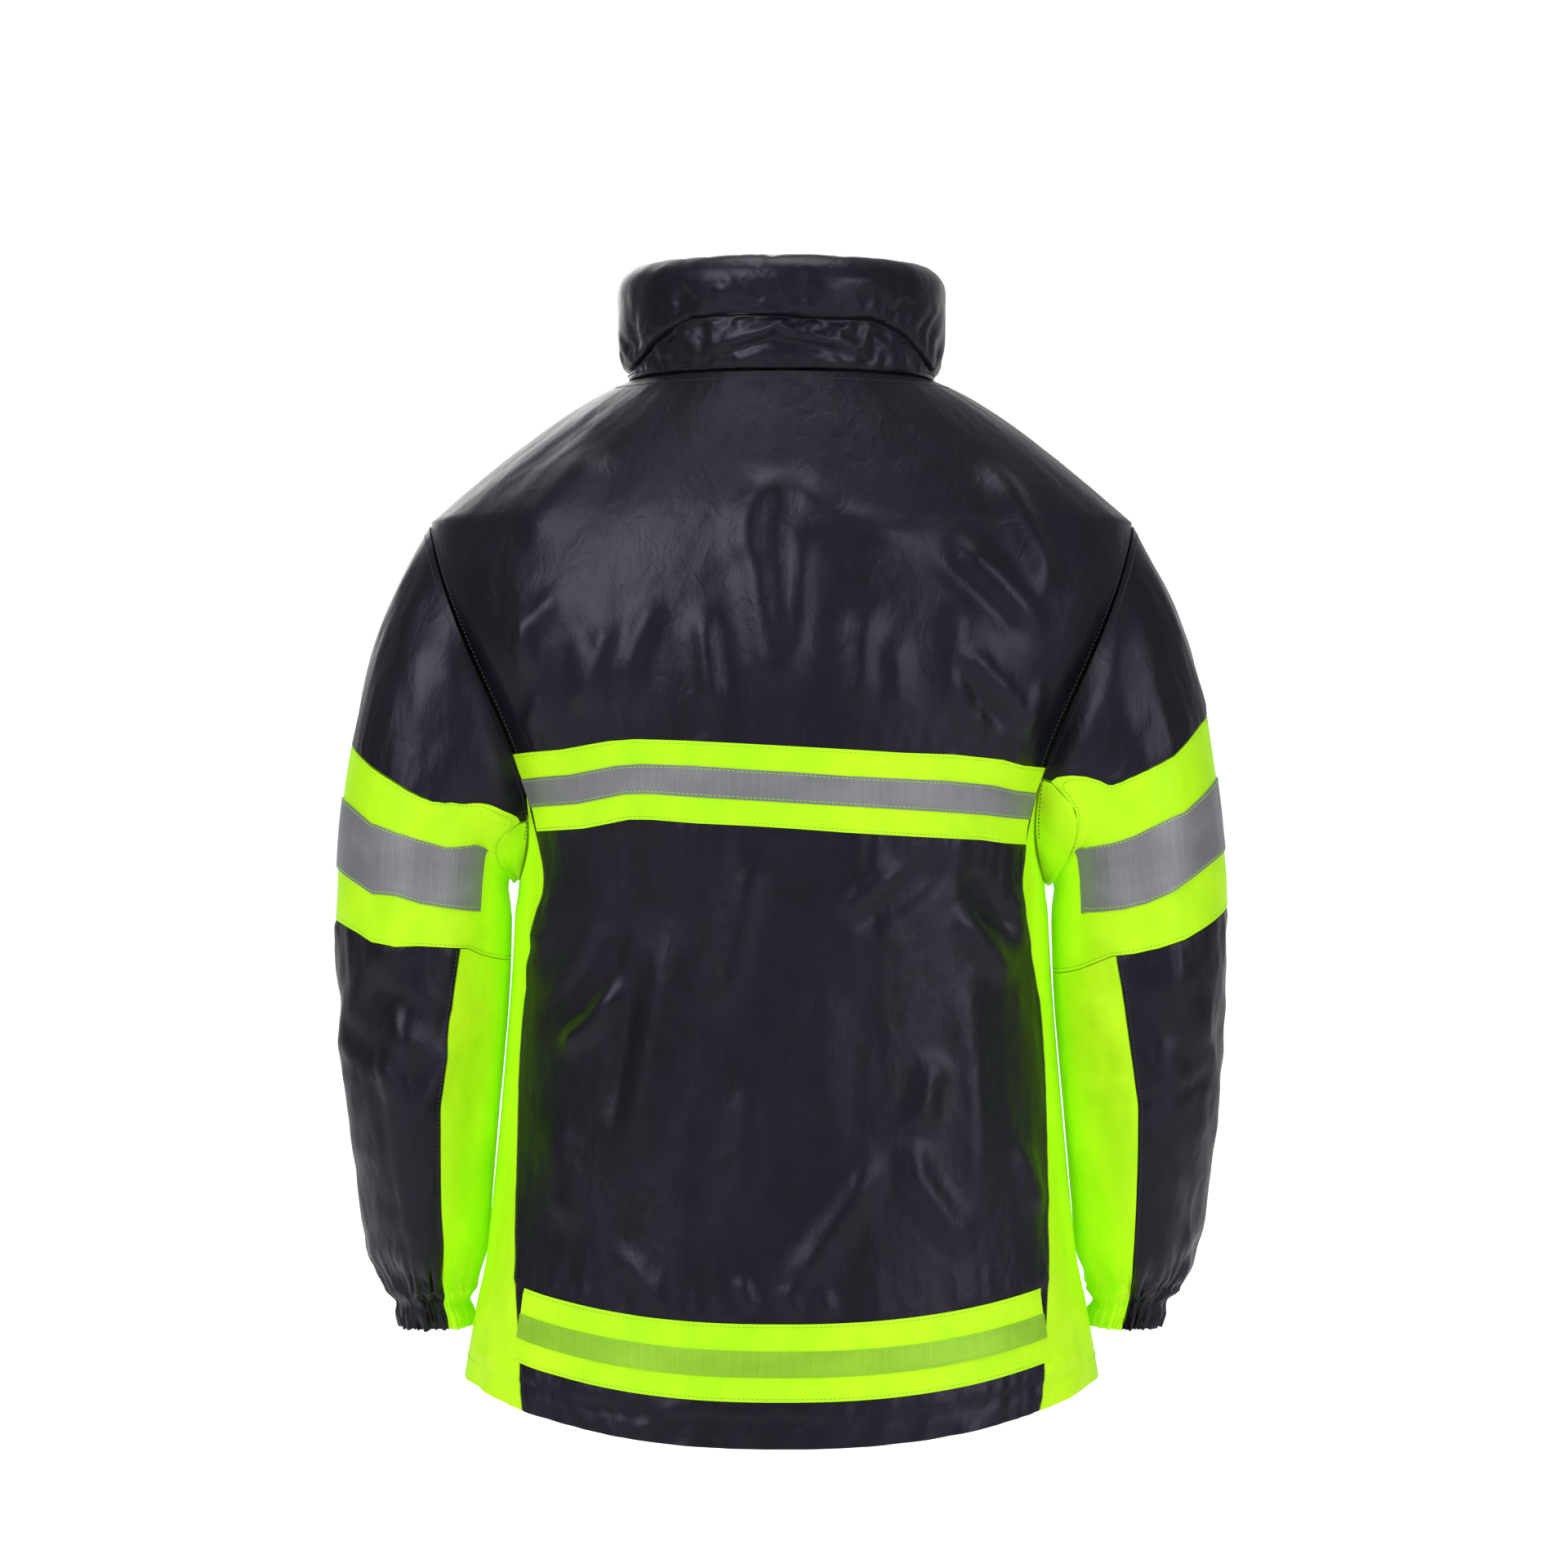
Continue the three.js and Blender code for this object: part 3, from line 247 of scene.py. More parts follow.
class Shade:
    """One material's node tree."""

    def __init__(self, name: str) -> None:
        """Starts an empty material of that name.

        Args:
            name: The material's name.
        """
        self.material = bpy.data.materials.new(name)
        self.material.use_nodes = True
        self.tree = self.material.node_tree
        self.tree.nodes.clear()

    def add(
        self, kind: str, settings: dict[str, Any] | None = None, inputs: dict[Any, Any] | None = None, output: Any = 0
    ) -> Value:
        """Adds a node.

        Args:
            kind: The node's type.
            settings: Its own settings, set first. "stops" holds a ramp's (place, colour) pairs.
            inputs: Values or links by socket name or number.
            output: The socket to give back.

        Returns:
            The node's output.
        """
        node = self.tree.nodes.new(kind)
        for key, value in (settings or {}).items():
            if key == "stops":
                while len(node.color_ramp.elements) < len(value):
                    node.color_ramp.elements.new(1.0)
                for element, (place, colour) in zip(node.color_ramp.elements, value):
                    element.position, element.color = place, (*colour, 1)
            else:
                setattr(node, key, value)
        for key, value in (inputs or {}).items():
            if isinstance(value, Value):
                self.tree.links.new(value.socket, node.inputs[key])
            elif value is not None:
                node.inputs[key].default_value = value
        return Value(self, node.outputs[output])

    def cut(self, coordinates: Coordinates) -> Value:
        """The pattern's coordinates, in metres."""
        if coordinates is Coordinates.CUT:
            return self.add("ShaderNodeUVMap", {"uv_map": "cut"})
        return self.add("ShaderNodeTexCoord", output="Object")

    def scaled(self, vector: Value, by: tuple[float, float, float]) -> Value:
        """The vector times a factor along each axis."""
        return self.add("ShaderNodeVectorMath", {"operation": "MULTIPLY"}, {0: vector, 1: by})

    def noise(self, vector: Value, by: tuple[float, float, float], detail: float = 2.0, twist: float = 0.0) -> Value:
        """Cloudy noise from 0 to 1, with its own scale along each axis."""
        inputs = {"Vector": self.scaled(vector, by), "Scale": 1.0, "Detail": detail, "Distortion": twist}
        return self.add("ShaderNodeTexNoise", None, inputs)

    def weave(self, vector: Value, pitch: float) -> Value:
        """Crossing threads, from 0 to 1.

        Args:
            vector: The pattern's coordinates.
            pitch: Distance from thread to thread, in metres.

        Returns:
            Height of the weave, 0 to 1.
        """
        turns = 2 * math.pi / pitch
        x = self.add("ShaderNodeSeparateXYZ", None, {0: vector}, "X")
        y = self.add("ShaderNodeSeparateXYZ", None, {0: vector}, "Y")
        z = self.add("ShaderNodeSeparateXYZ", None, {0: vector}, "Z")
        return 0.5 + 0.25 * ((x + z) * turns).sine() + 0.25 * ((y - z) * turns).sine()

    def blend(self, share: Value, low: Colour, high: Colour) -> Value:
        """A colour from low to high as share goes from 0 to 1."""
        return self.add(
            "ShaderNodeMix", {"data_type": "RGBA"}, {"Factor": share, 6: (*low, 1), 7: (*high, 1)}, 2
        )

    def bump(self, height: Value, distance: float, strength: float = 1.0) -> Value:
        """The normal of a surface with that relief."""
        return self.add("ShaderNodeBump", None, {"Height": height, "Distance": distance, "Strength": strength})

    def finish(self, inputs: dict[str, Any]) -> bpy.types.Material:
        """Ends the material with one Principled shader that has these inputs.

        Args:
            inputs: Values or links by the shader's socket.

        Returns:
            The material.
        """
        shader = self.add("ShaderNodeBsdfPrincipled", None, inputs)
        self.add_output(shader)
        return self.material

    def add_output(self, shader: Value) -> None:
        """Links the shader to the material's surface."""
        node = self.tree.nodes.new("ShaderNodeOutputMaterial")
        self.tree.links.new(shader.socket, node.inputs["Surface"])


# ---- Finishes ----
@dataclass(frozen=True)
class ShellNylon:
    """Coated nylon shell cloth: smooth, a little glossy, with fine crinkles and a close plain weave."""

    name: str
    shade: Colour
    light: Colour
    roughness: float = 0.4
    gloss: float = 0.5
    # Painted glow: emission strength in the cloth's own colour, which makes the cloth shine though it is no lamp.
    glow: float = 0.0
    tint: Colour = (1.0, 1.0, 1.0)
    crinkle_mm: float = 0.5
    coordinates: Coordinates = Coordinates.CUT
    slot: Slot = Slot.NAVY

    def material(self) -> bpy.types.Material:
        """Builds the cloth's material."""
        s = Shade(self.name)
        cut = s.cut(self.coordinates)
        cloud = s.noise(cut, (9, 6, 9), 3, 0.6)
        rub = s.noise(cut, (46, 30, 46), 2, 0.4)
        crinkle = s.noise(cut, (70, 38, 70), 3, 1.2)
        pucker = s.noise(cut, (210, 120, 210), 2, 0.5)
        weave = s.weave(cut, 0.0011)
        tone = (0.65 * cloud + 0.35 * rub).between(0.3, 0.7)
        height = crinkle + 0.22 * pucker + 0.05 * weave
        colour = s.blend(tone, self.shade, self.light)
        inputs = {
            "Base Color": colour,
            "Roughness": self.roughness + 0.16 * (cloud - 0.5) + 0.08 * (rub - 0.5),
            "Specular IOR Level": self.gloss,
            "Specular Tint": (*self.tint, 1.0),
            "Normal": s.bump(height, self.crinkle_mm * MM),
        }
        # Painted glow: the cloth also emits its own colour, so it looks brighter than its lighting makes it, though it
        # is no lamp.
        if self.glow:
            inputs |= {"Emission Color": colour, "Emission Strength": self.glow}
        return s.finish(inputs)


@dataclass(frozen=True)
class BeadedTape:
    """Reflective tape: grey glass beads in a smooth film, on a woven backing that shows as fine ribs."""

    name: str
    shade: Colour
    light: Colour
    coordinates: Coordinates = Coordinates.CUT
    slot: Slot = Slot.SILVER

    def material(self) -> bpy.types.Material:
        """Builds the tape's material."""
        s = Shade(self.name)
        cut = s.cut(self.coordinates)
        beads = s.noise(cut, (2600, 2600, 2600), 1)
        ribs = s.noise(cut, (620, 24, 620), 2)
        cloud = s.noise(cut, (16, 40, 16), 3, 0.4)
        scuff = s.noise(cut, (95, 60, 95), 3, 1.0).between(0.6, 0.8)
        tone = (0.5 * cloud + 0.3 * ribs + 0.2 * beads).between(0.32, 0.68)
        return s.finish(
            {
                "Base Color": s.blend(tone, self.shade, self.light),
                "Metallic": 0.25,
                "Roughness": 0.46 + 0.12 * scuff + 0.1 * (beads - 0.5),
                "Normal": s.bump(0.3 * beads + 0.7 * ribs + cloud, 0.00022),
            }
        )


@dataclass(frozen=True)
class QuiltedLining:
    """Soft woven lining, quilted through its wadding in diamonds."""

    name: str
    shade: Colour
    light: Colour
    diamond: float = 0.07
    slot: Slot = Slot.LINING
    coordinates: Coordinates = Coordinates.CUT

    def material(self) -> bpy.types.Material:
        """Builds the lining's material."""
        s = Shade(self.name)
        cut = s.cut(self.coordinates)
        x = s.add("ShaderNodeSeparateXYZ", None, {0: cut}, "X")
        y = s.add("ShaderNodeSeparateXYZ", None, {0: cut}, "Y")
        turns = math.pi / self.diamond
        rows = ((x + y) * turns).sine().size().at_most(((x - y) * turns).sine().size())
        puff = rows ** 0.5
        thread = 1 - rows.between(0.0, 0.035)
        cloud = s.noise(cut, (30, 30, 30), 3)
        # Painted highlight: the tone is lighter on the diamonds' puffed middles, where light would catch them. It is
        # also darker along the quilting lines.
        tone = (0.6 * cloud + 0.5 * puff - 0.4 * thread).between(0.1, 0.9)
        return s.finish(
            {
                "Base Color": s.blend(tone, self.shade, self.light),
                "Roughness": 0.68 + 0.1 * (cloud - 0.5),
                "Sheen Weight": 0.2,
                "Normal": s.bump(puff + 0.08 * s.weave(cut, 0.0014) + 0.1 * cloud, 0.003),
            }
        )


@dataclass(frozen=True)
class Moulded:
    """Moulded plastic or cast metal, with a faint grain and worn edges' brighter, smoother patches."""

    name: str
    shade: Colour
    light: Colour
    roughness: float
    metallic: float = 0.0
    slot: Slot = Slot.PLASTIC

    def material(self) -> bpy.types.Material:
        """Builds the hardware's material."""
        s = Shade(self.name)
        place = s.cut(Coordinates.PLACE)
        grain = s.noise(place, (900, 900, 900), 2)
        wear = s.noise(place, (160, 160, 160), 3, 0.5).between(0.45, 0.75)
        return s.finish(
            {
                "Base Color": s.blend(wear, self.shade, self.light),
                "Metallic": self.metallic,
                "Roughness": self.roughness + 0.12 * (grain - 0.5) - 0.1 * wear,
                "Normal": s.bump(grain, 0.00006),
            }
        )


@dataclass(frozen=True)
class Thread:
    """Sewing thread: twisted filaments."""

    name: str
    shade: Colour
    light: Colour
    slot: Slot = Slot.NAVY

    def material(self) -> bpy.types.Material:
        """Builds the thread's material."""
        s = Shade(self.name)
        place = s.cut(Coordinates.PLACE)
        twist = s.noise(place, (1500, 1500, 1500), 2)
        return s.finish(
            {
                "Base Color": s.blend(twist, self.shade, self.light),
                "Roughness": 0.55 + 0.2 * (twist - 0.5),
                "Normal": s.bump(twist, 0.0001),
            }
        )


@dataclass(frozen=True)
class StudioPaper:
    """Seamless studio paper."""

    name: str = "studio_paper"

    def material(self) -> bpy.types.Material:
        """Builds the paper's material."""
        s = Shade(self.name)
        tooth = s.noise(s.cut(Coordinates.PLACE), (300, 300, 300), 2)
        return s.finish(
            {
                "Base Color": s.blend(tooth, (0.86, 0.86, 0.86), (0.9, 0.9, 0.9)),
                "Roughness": 0.9,
                "Normal": s.bump(tooth, 0.0002),
            }
        )


class Wardrobe:
    """The coat's finishes, each made into a material once."""

    _NAVY = ((0.0018, 0.0016, 0.0042), (0.0052, 0.0046, 0.0105))
    _SHEEN = (0.86, 0.82, 1.0)
    NAVY = ShellNylon("navy_nylon", *_NAVY, 0.4, 0.37, tint=_SHEEN)
    NAVY_PLACE = ShellNylon("navy_nylon_collar", *_NAVY, 0.37, 0.37, tint=_SHEEN, coordinates=Coordinates.PLACE)
    # The lime cloth has a painted glow: an emission strength of 0.12 brightens it beyond its lighting.
    LIME = ShellNylon(
        "lime_cloth", (0.42, 0.86, 0.006), (0.58, 1.0, 0.012), 0.55, 0.2, 0.12, crinkle_mm=0.35, slot=Slot.LIME
    )
    SILVER = BeadedTape("silver_tape", (0.19, 0.19, 0.205), (0.27, 0.27, 0.29))
    # Painted reflection and shade: the hem's silver tape is coloured a dull yellow-green, as the tape looks in shade
    # while it reflects the lime cloth.
    SILVER_HEM = BeadedTape("silver_tape_hem", (0.27, 0.56, 0.02), (0.38, 0.72, 0.03))
    LINING = QuiltedLining("quilted_lining", (0.03, 0.03, 0.036), (0.075, 0.075, 0.085))
    METAL = Moulded("zip_metal", (0.12, 0.12, 0.125), (0.4, 0.4, 0.41), 0.38, 0.9, Slot.METAL)
    PLASTIC = Moulded("zip_plastic", (0.01, 0.01, 0.012), (0.03, 0.03, 0.034), 0.45)
    LABEL = Thread("woven_label", (0.6, 0.6, 0.58), (0.8, 0.8, 0.78), Slot.LABEL)
    NAVY_THREAD = Thread("navy_thread", (0.016, 0.015, 0.024), (0.05, 0.048, 0.065))
    LIME_THREAD = Thread("lime_thread", (0.24, 0.6, 0.012), (0.42, 0.86, 0.02), Slot.LIME)

    def __init__(self) -> None:
        """Starts with no material made."""
        self._made: dict[str, bpy.types.Material] = {}

    def put(self, obj: bpy.types.Object, *finishes: Any) -> bpy.types.Object:
        """Gives a piece its finishes, in the order of its mesh's material numbers.

        Args:
            obj: The piece.
            finishes: Its finishes, in the order of its mesh's material numbers.

        Returns:
            The same piece.
        """
        if obj.data.materials:
            obj.data.materials.clear()
        for finish in finishes:
            if finish.name not in self._made:
                self._made[finish.name] = finish.material()
            obj.data.materials.append(self._made[finish.name])
        return obj


WARDROBE = Wardrobe()


# ---- The coat's form: the surfaces that its cloth lies on, in millimetres ----
@dataclass(frozen=True)
class TorsoForm:
    """The worn body's surface. t runs from the centre back, 0, over the wearer's left side to the front, pi."""

    neck_radius: float = 113
    neck_y: float = -22
    lean: float = 0.048
    shoulder_half: float = 258
    shoulder_drop: float = 104
    shoulder_slope: float = 0.78
    armpit_half: float = 192
    armpit_drop: float = 367
    armhole_depth: float = 82
    armhole_bow: float = 25
    blade_drop: float = 220
    hem_drop: float = 728
    hem_tail: float = 33
    fullness_low: float = 2.3
    back: Profile = Profile(((0, 91), (-55, 116.62), (-110, 136.8), (-220, 152), (-458, 143), (-728, 158)))
    sides: Profile = Profile(((-367, 192), (-458, 197), (-641, 214), (-728, 228)))
    back_seam: Profile = Profile(
        ((-301, 184.03), (-367, 172), (-458, 188), (-549.5, 191), (-641, 191), (-728, 183))
    )

    def centre_y(self, z: Array) -> Array:
        """y of the section's centre."""
        return np.where(z > 0, self.neck_y + self.lean * z, self.neck_y * (1 - ease(-z / self.blade_drop)))

    def front_depth(self, z: Array) -> Array:
        """How far the closed front stands before the middle."""
        return self.neck_radius - self.neck_y - self.lean * z

    def fullness(self, z: Array) -> Array:
        """The section's superellipse exponent."""
        return lerp(2.0, self.fullness_low, ease(-z / self.blade_drop))

    def armhole_x(self, z: Array) -> Array:
        """x of the armhole seam."""
        share = np.clip((-z - self.shoulder_drop) / (self.armpit_drop - self.shoulder_drop), 0, 1)
        return lerp(self.shoulder_half, self.armpit_half, share) - self.armhole_bow * np.sin(math.pi * share**2)

    def half_width(self, z: Array) -> Array:
        """Half of the body's width.

        Args:
            z: Height, in mm.

        Returns:
            Half widths, in mm.
        """
        z = np.asarray(z, float)
        neck = self.neck_radius
        slope = neck + (self.shoulder_half - neck) * np.clip(-z / self.shoulder_drop, 1e-9, 1) ** self.shoulder_slope
        middle = -(self.shoulder_drop + self.armpit_drop) / 2
        half = (self.armpit_drop - self.shoulder_drop) / 2
        deep = self.armhole_depth * np.sqrt(np.maximum(0, 1 - ((z - middle) / half) ** 2))
        n = self.fullness(z)
        share = np.clip(deep / (self.back(z) - self.centre_y(z)), 0, 0.98)
        arm = self.armhole_x(z) / (1 - share**n) ** (1 / n)
        low = np.where(z > -self.armpit_drop, arm, self.sides(z))
        return np.where(z >= 0, neck, np.where(z > -self.shoulder_drop, slope, low))

    def x(self, t: Array, z: Array) -> Array:
        """x of a point of the surface.

        Args:
            t: Angle round the body, in radians.
            z: Height, in mm.

        Returns:
            x, in millimetres.
        """
        s = np.sin(t)
        outline = self.half_width(z)
        neck, far = self.neck_radius, self.shoulder_half
        low = -(self.shoulder_drop + self.blade_drop) / 2
        rounded = Profile(
            (
                (0, neck),
                (-self.shoulder_drop / 2, lerp(neck, far, 0.45)),
                (-self.shoulder_drop, lerp(neck, far, 0.79)),
                (low, float(self.half_width(low)) * 0.985),
                (-self.blade_drop, float(self.half_width(-self.blade_drop))),
                (-self.blade_drop - 40, float(self.half_width(-self.blade_drop - 40))),
            )
        )
        near = (z > -self.blade_drop) & (z < 0)
        half = np.where(near, lerp(rounded(z), outline, s**4), outline)
        return half * np.sign(s) * np.abs(s) ** (2 / self.fullness(z))

    def point(self, t: Array, z: Array) -> Array:
        """Points of the surface, with x, y and z last.

        Args:
            t: Angle round the body, in radians.
            z: Height, in mm.

        Returns:
            Points in mm.
        """
        t, z = np.broadcast_arrays(np.asarray(t, float), np.asarray(z, float))
        c = np.cos(t)
        back = np.where(z > 0, self.neck_radius, self.back(z) - self.centre_y(z))
        depth = np.where(c > 0, back, self.front_depth(z) + self.centre_y(z))
        tail = np.where((z < 0) & (c > 0), self.hem_tail * c * c * (z / self.hem_drop) ** 2, 0)
        y = self.centre_y(z) + depth * np.sign(c) * np.abs(c) ** (2 / self.fullness(z))
        return np.stack([self.x(t, z), y, z - tail], -1)

    def normal(self, t: Array, z: Array) -> Array:
        """The surface's outward normals.

        Args:
            t: Angle round the body, in radians.
            z: Height, in mm.

        Returns:
            Unit vectors.
        """
        across = self.point(t + 1e-3, z) - self.point(t - 1e-3, z)
        along = self.point(t, z + 0.5) - self.point(t, z - 0.5)
        n = np.cross(along, across)
        return n / np.maximum(np.linalg.norm(n, axis=-1, keepdims=True), 1e-9)

    def back_t(self, x: Array, z: Array) -> Array:
        """t of the back surface at that x.

        Args:
            x: Distance from the middle, in mm.
            z: Height, in mm.

        Returns:
            The angles.
        """
        x, z = np.broadcast_arrays(np.asarray(x, float), np.asarray(z, float))
        low, high = np.zeros(x.shape), np.full(x.shape, math.pi / 2)
        for _ in range(34):
            t = (low + high) / 2
            inside = self.x(t, z) < x
            low, high = np.where(inside, t, low), np.where(inside, high, t)
        return low

    def front_t(self, x: Array, z: Array) -> Array:
        """t of the front surface at that x."""
        return math.pi - self.back_t(x, z)

    def back_edge(self, z: Array) -> Array:
        """t where the back panel ends: the shoulder seam, then the armhole, then the side panel.

        Args:
            z: Height, in mm.

        Returns:
            The angles.
        """
        z = np.asarray(z, float)
        x = np.where(z > -301, self.armhole_x(z), self.back_seam(z))
        return np.where(z > -self.shoulder_drop, math.pi / 2, self.back_t(x, z))


@dataclass(frozen=True)
class SleeveForm:
    """A sleeve's surface, on the wearer's left. phi runs from its outer edge, 0, over its back; s counts stations."""

    torso: TorsoForm
    stations: tuple[tuple[float, ...], ...] = (
        (258, 104, 192, 367, 82, 0),
        (292, 176, 196, 369, 83, 1),
        (313, 254, 200, 371, 82, 3),
        (326, 378, 202.67, 452, 79, 6),
        (319, 521, 210.03, 535, 73, 4),
        (312.25, 586.78, 215.44, 592.5, 66, -4),
        (304, 636, 219.72, 638, 58, -12),
        (290, 664, 229, 664, 42, -17),
        (278, 695, 228, 695, 34, -22),
    )
    tape_from: float = 2.31
    tape_to: float = 2.71
    length: tuple[float, ...] = (0, 46, 92, 172, 285, 350, 397, 428, 459)

    def _curve(self, s: Array) -> Array:
        """The stations' smooth curve.

        Args:
            s: Station down the sleeve.

        Returns:
            The station rows between the given ones.
        """
        rows = np.array(self.stations, float)
        rows = np.concatenate([[2 * rows[0] - rows[1]], rows, [2 * rows[-1] - rows[-2]]])
        i = np.clip(np.floor(s).astype(int), 0, len(self.stations) - 2)
        u = (s - i)[..., None]
        p0, p1, p2, p3 = rows[i], rows[i + 1], rows[i + 2], rows[i + 3]
        m1, m2 = (p2 - p0) / 2, (p3 - p1) / 2
        return p1 + u * (m1 + u * (3 * (p2 - p1) - 2 * m1 - m2 + u * (m1 + m2 - 2 * (p2 - p1))))

    def _oval(self, phi: Array, s: Array) -> Array:
        """The section's plain oval.

        Args:
            phi: Angle round the sleeve, in radians.
            s: Station down the sleeve.

        Returns:
            Points in millimetres, x, y and z last.
        """
        row = self._curve(s)
        outer = np.stack([row[..., 0], row[..., 5], -row[..., 1]], -1)
        inner = np.stack([row[..., 2], row[..., 5], -row[..., 3]], -1)
        p = lerp(inner, outer, ((1 + np.cos(phi)) / 2)[..., None])
        p[..., 1] += row[..., 4] * np.sin(phi)
        return p

    def armhole(self, phi: Array) -> Array:
        """The armhole seam's own points.

        Args:
            phi: Angle round the sleeve, in radians.

        Returns:
            Points in millimetres, x, y and z last.
        """
        t = self.torso
        middle, half = -(t.shoulder_drop + t.armpit_drop) / 2, (t.armpit_drop - t.shoulder_drop) / 2
        z = np.clip(middle + half * np.cos(phi), -t.armpit_drop + 1e-3, -t.shoulder_drop - 1e-3)
        at = t.back_t(t.armhole_x(z), z)
        return t.point(np.where(np.sin(phi) >= 0, at, math.pi - at), z)

    def point(self, phi: Array, s: Array) -> Array:
        """Points of the surface, with x, y and z last.

        Args:
            phi: Angle round the sleeve, in radians.
            s: Station down the sleeve.

        Returns:
            Points in mm.
        """
        phi, s = np.broadcast_arrays(np.asarray(phi, float), np.asarray(s, float))
        p = self._oval(phi, s)
        near = s < 1
        if near.any():
            fix = self.armhole(phi[near]) - self._oval(phi[near], np.zeros(phi[near].shape))
            p[near] += fix * ((1 - s[near]) ** 2)[..., None]
        return p

    def normal(self, phi: Array, s: Array) -> Array:
        """The surface's outward normals.

        Args:
            phi: Angle round the sleeve, in radians.
            s: Station down the sleeve.

        Returns:
            Unit vectors.
        """
        across = self.point(phi + 1e-3, s) - self.point(phi - 1e-3, s)
        along = self.point(phi, s + 0.02) - self.point(phi, np.maximum(s - 0.02, 0))
        n = np.cross(along, across)
        return n / np.maximum(np.linalg.norm(n, axis=-1, keepdims=True), 1e-9)


# ---- Folds ----
@dataclass(frozen=True)
class Fold:
    """One fold's crest line, from end to end, in millimetres. A hollow has a negative height."""

    path: tuple[tuple[float, float], ...]
    height: float
    width: float

    def lift(self, x: Array, z: Array) -> Array:
        """How far the fold lifts each point, in millimetres.

        Args:
            x: Distance from the middle, in mm.
            z: Height, in mm.

        Returns:
            Lift at each point, in mm.
        """
        path = np.array(self.path)
        runs = np.linalg.norm(np.diff(path, axis=0), axis=1)
        total, start = runs.sum(), 0.0
        best, share = np.full(x.shape, 1e9), np.zeros(x.shape)
        for a, b, run in zip(path[:-1], path[1:], runs):
            d = (b - a) / run
            along = np.clip((x - a[0]) * d[0] + (z - a[1]) * d[1], 0, run)
            far = np.hypot(x - a[0] - along * d[0], z - a[1] - along * d[1])
            near = far < best
            best, share = np.where(near, far, best), np.where(near, (start + along) / total, share)
            start += run
        taper = ease(share / 0.3) * ease((1 - share) / 0.3)
        return self.height * taper * np.exp(-((best / self.width) ** 2))


def folds(*rows: tuple[float, ...]) -> tuple[Fold, ...]:
    """Folds from rows of numbers: height, width, then the crest line's x and z in turn."""
    return tuple(Fold(tuple(zip(row[2::2], row[3::2])), row[0], row[1]) for row in rows)


BACK_FOLDS = folds(
    (4, 12, 6, -69, 22, -104, 30, -147), (3.5, 12, 4, -69, -16, -89, -36, -109, -71, -118, -111, -121),
    (4.5, 12, 21, -112, 15, -170, 7, -213, 1, -244), (3, 10, -13, -98, -13, -141, -10, -198, 1, -241),
    (4, 9, 56, -164, 53, -198, 47, -253), (3, 9, 87, -161, 102, -198, 113, -233),
    (3.5, 9, 119, -175, 130, -215, 136, -250), (2.5, 8, 142, -187, 141, -253),
    (3.5, 13, -59, -161, -56, -198, -56, -253), (2.5, 9, -79, -187, -82, -253),
    (3, 12, -125, -158, -125, -198, -128, -250), (5, 11, -116, -118, -151, -150, -188, -193),
    (-3, 9, -96, -124, -137, -158, -180, -198), (4, 7, -128, -198, -157, -230, -180, -256),
    (-3, 6, -119, -204, -142, -238, -165, -261), (5, 10, -142, -61, -165, -95, -185, -135, -191, -170),
    (4, 16, 125, -49, 159, -89, 190, -129), (3, 8, 153, -155, 179, -187, 190, -215),
    (3, 8, 190, -161, 179, -198, 179, -227), (3, 6, -185, -221, -171, -264), (2.5, 6, 168, -233, 182, -261),
    (4, 13, 24, -335, 24, -370, 33, -417, 45, -471), (3.5, 14, 77, -386, 83, -433, 96, -502, 108, -574),
    (-3, 9, 105, -417, 111, -483, 121, -546), (-6, 10, 122, -389, 126, -420, 146, -452, 174, -480),
    (4, 10, 111, -433, 133, -464, 165, -486), (3, 9, 158, -367, 171, -411, 188, -446),
    (-3.5, 9, -46, -401, -99, -364, -121, -348), (3, 9, -36, -389, -90, -354),
    (-5, 8, -134, -354, -149, -386, -172, -405), (4, 10, -121, -380, -143, -411, -168, -439),
    (3.5, 12, -127, -401, -134, -495, -140, -590, -140, -621), (4, 10, -90, -540, -96, -574, -118, -606, -143, -621),
    (3, 8, -168, -548, -181, -590, -189, -606), (3.5, 11, -74, -546, -46, -596, -21, -631, 1, -662),
    (2.5, 14, 20, -495, 26, -559, 30, -615), (3, 14, 162, -527, 155, -574, 149, -621),
    (2, 8, 121, -621, 96, -646, 77, -668), (3, 10, -111, -483, -99, -527, -90, -546),
    (2, 16, -25, -428, -30, -491, -25, -548), (2.5, 6, 30, -640, 18, -669), (2.5, 6, -2, -646, -10, -672),
    (2, 6, -25, -649, -36, -670), (2.5, 8, 182, -376, 173, -416), (2.5, 8, -165, -370, -175, -422),
)


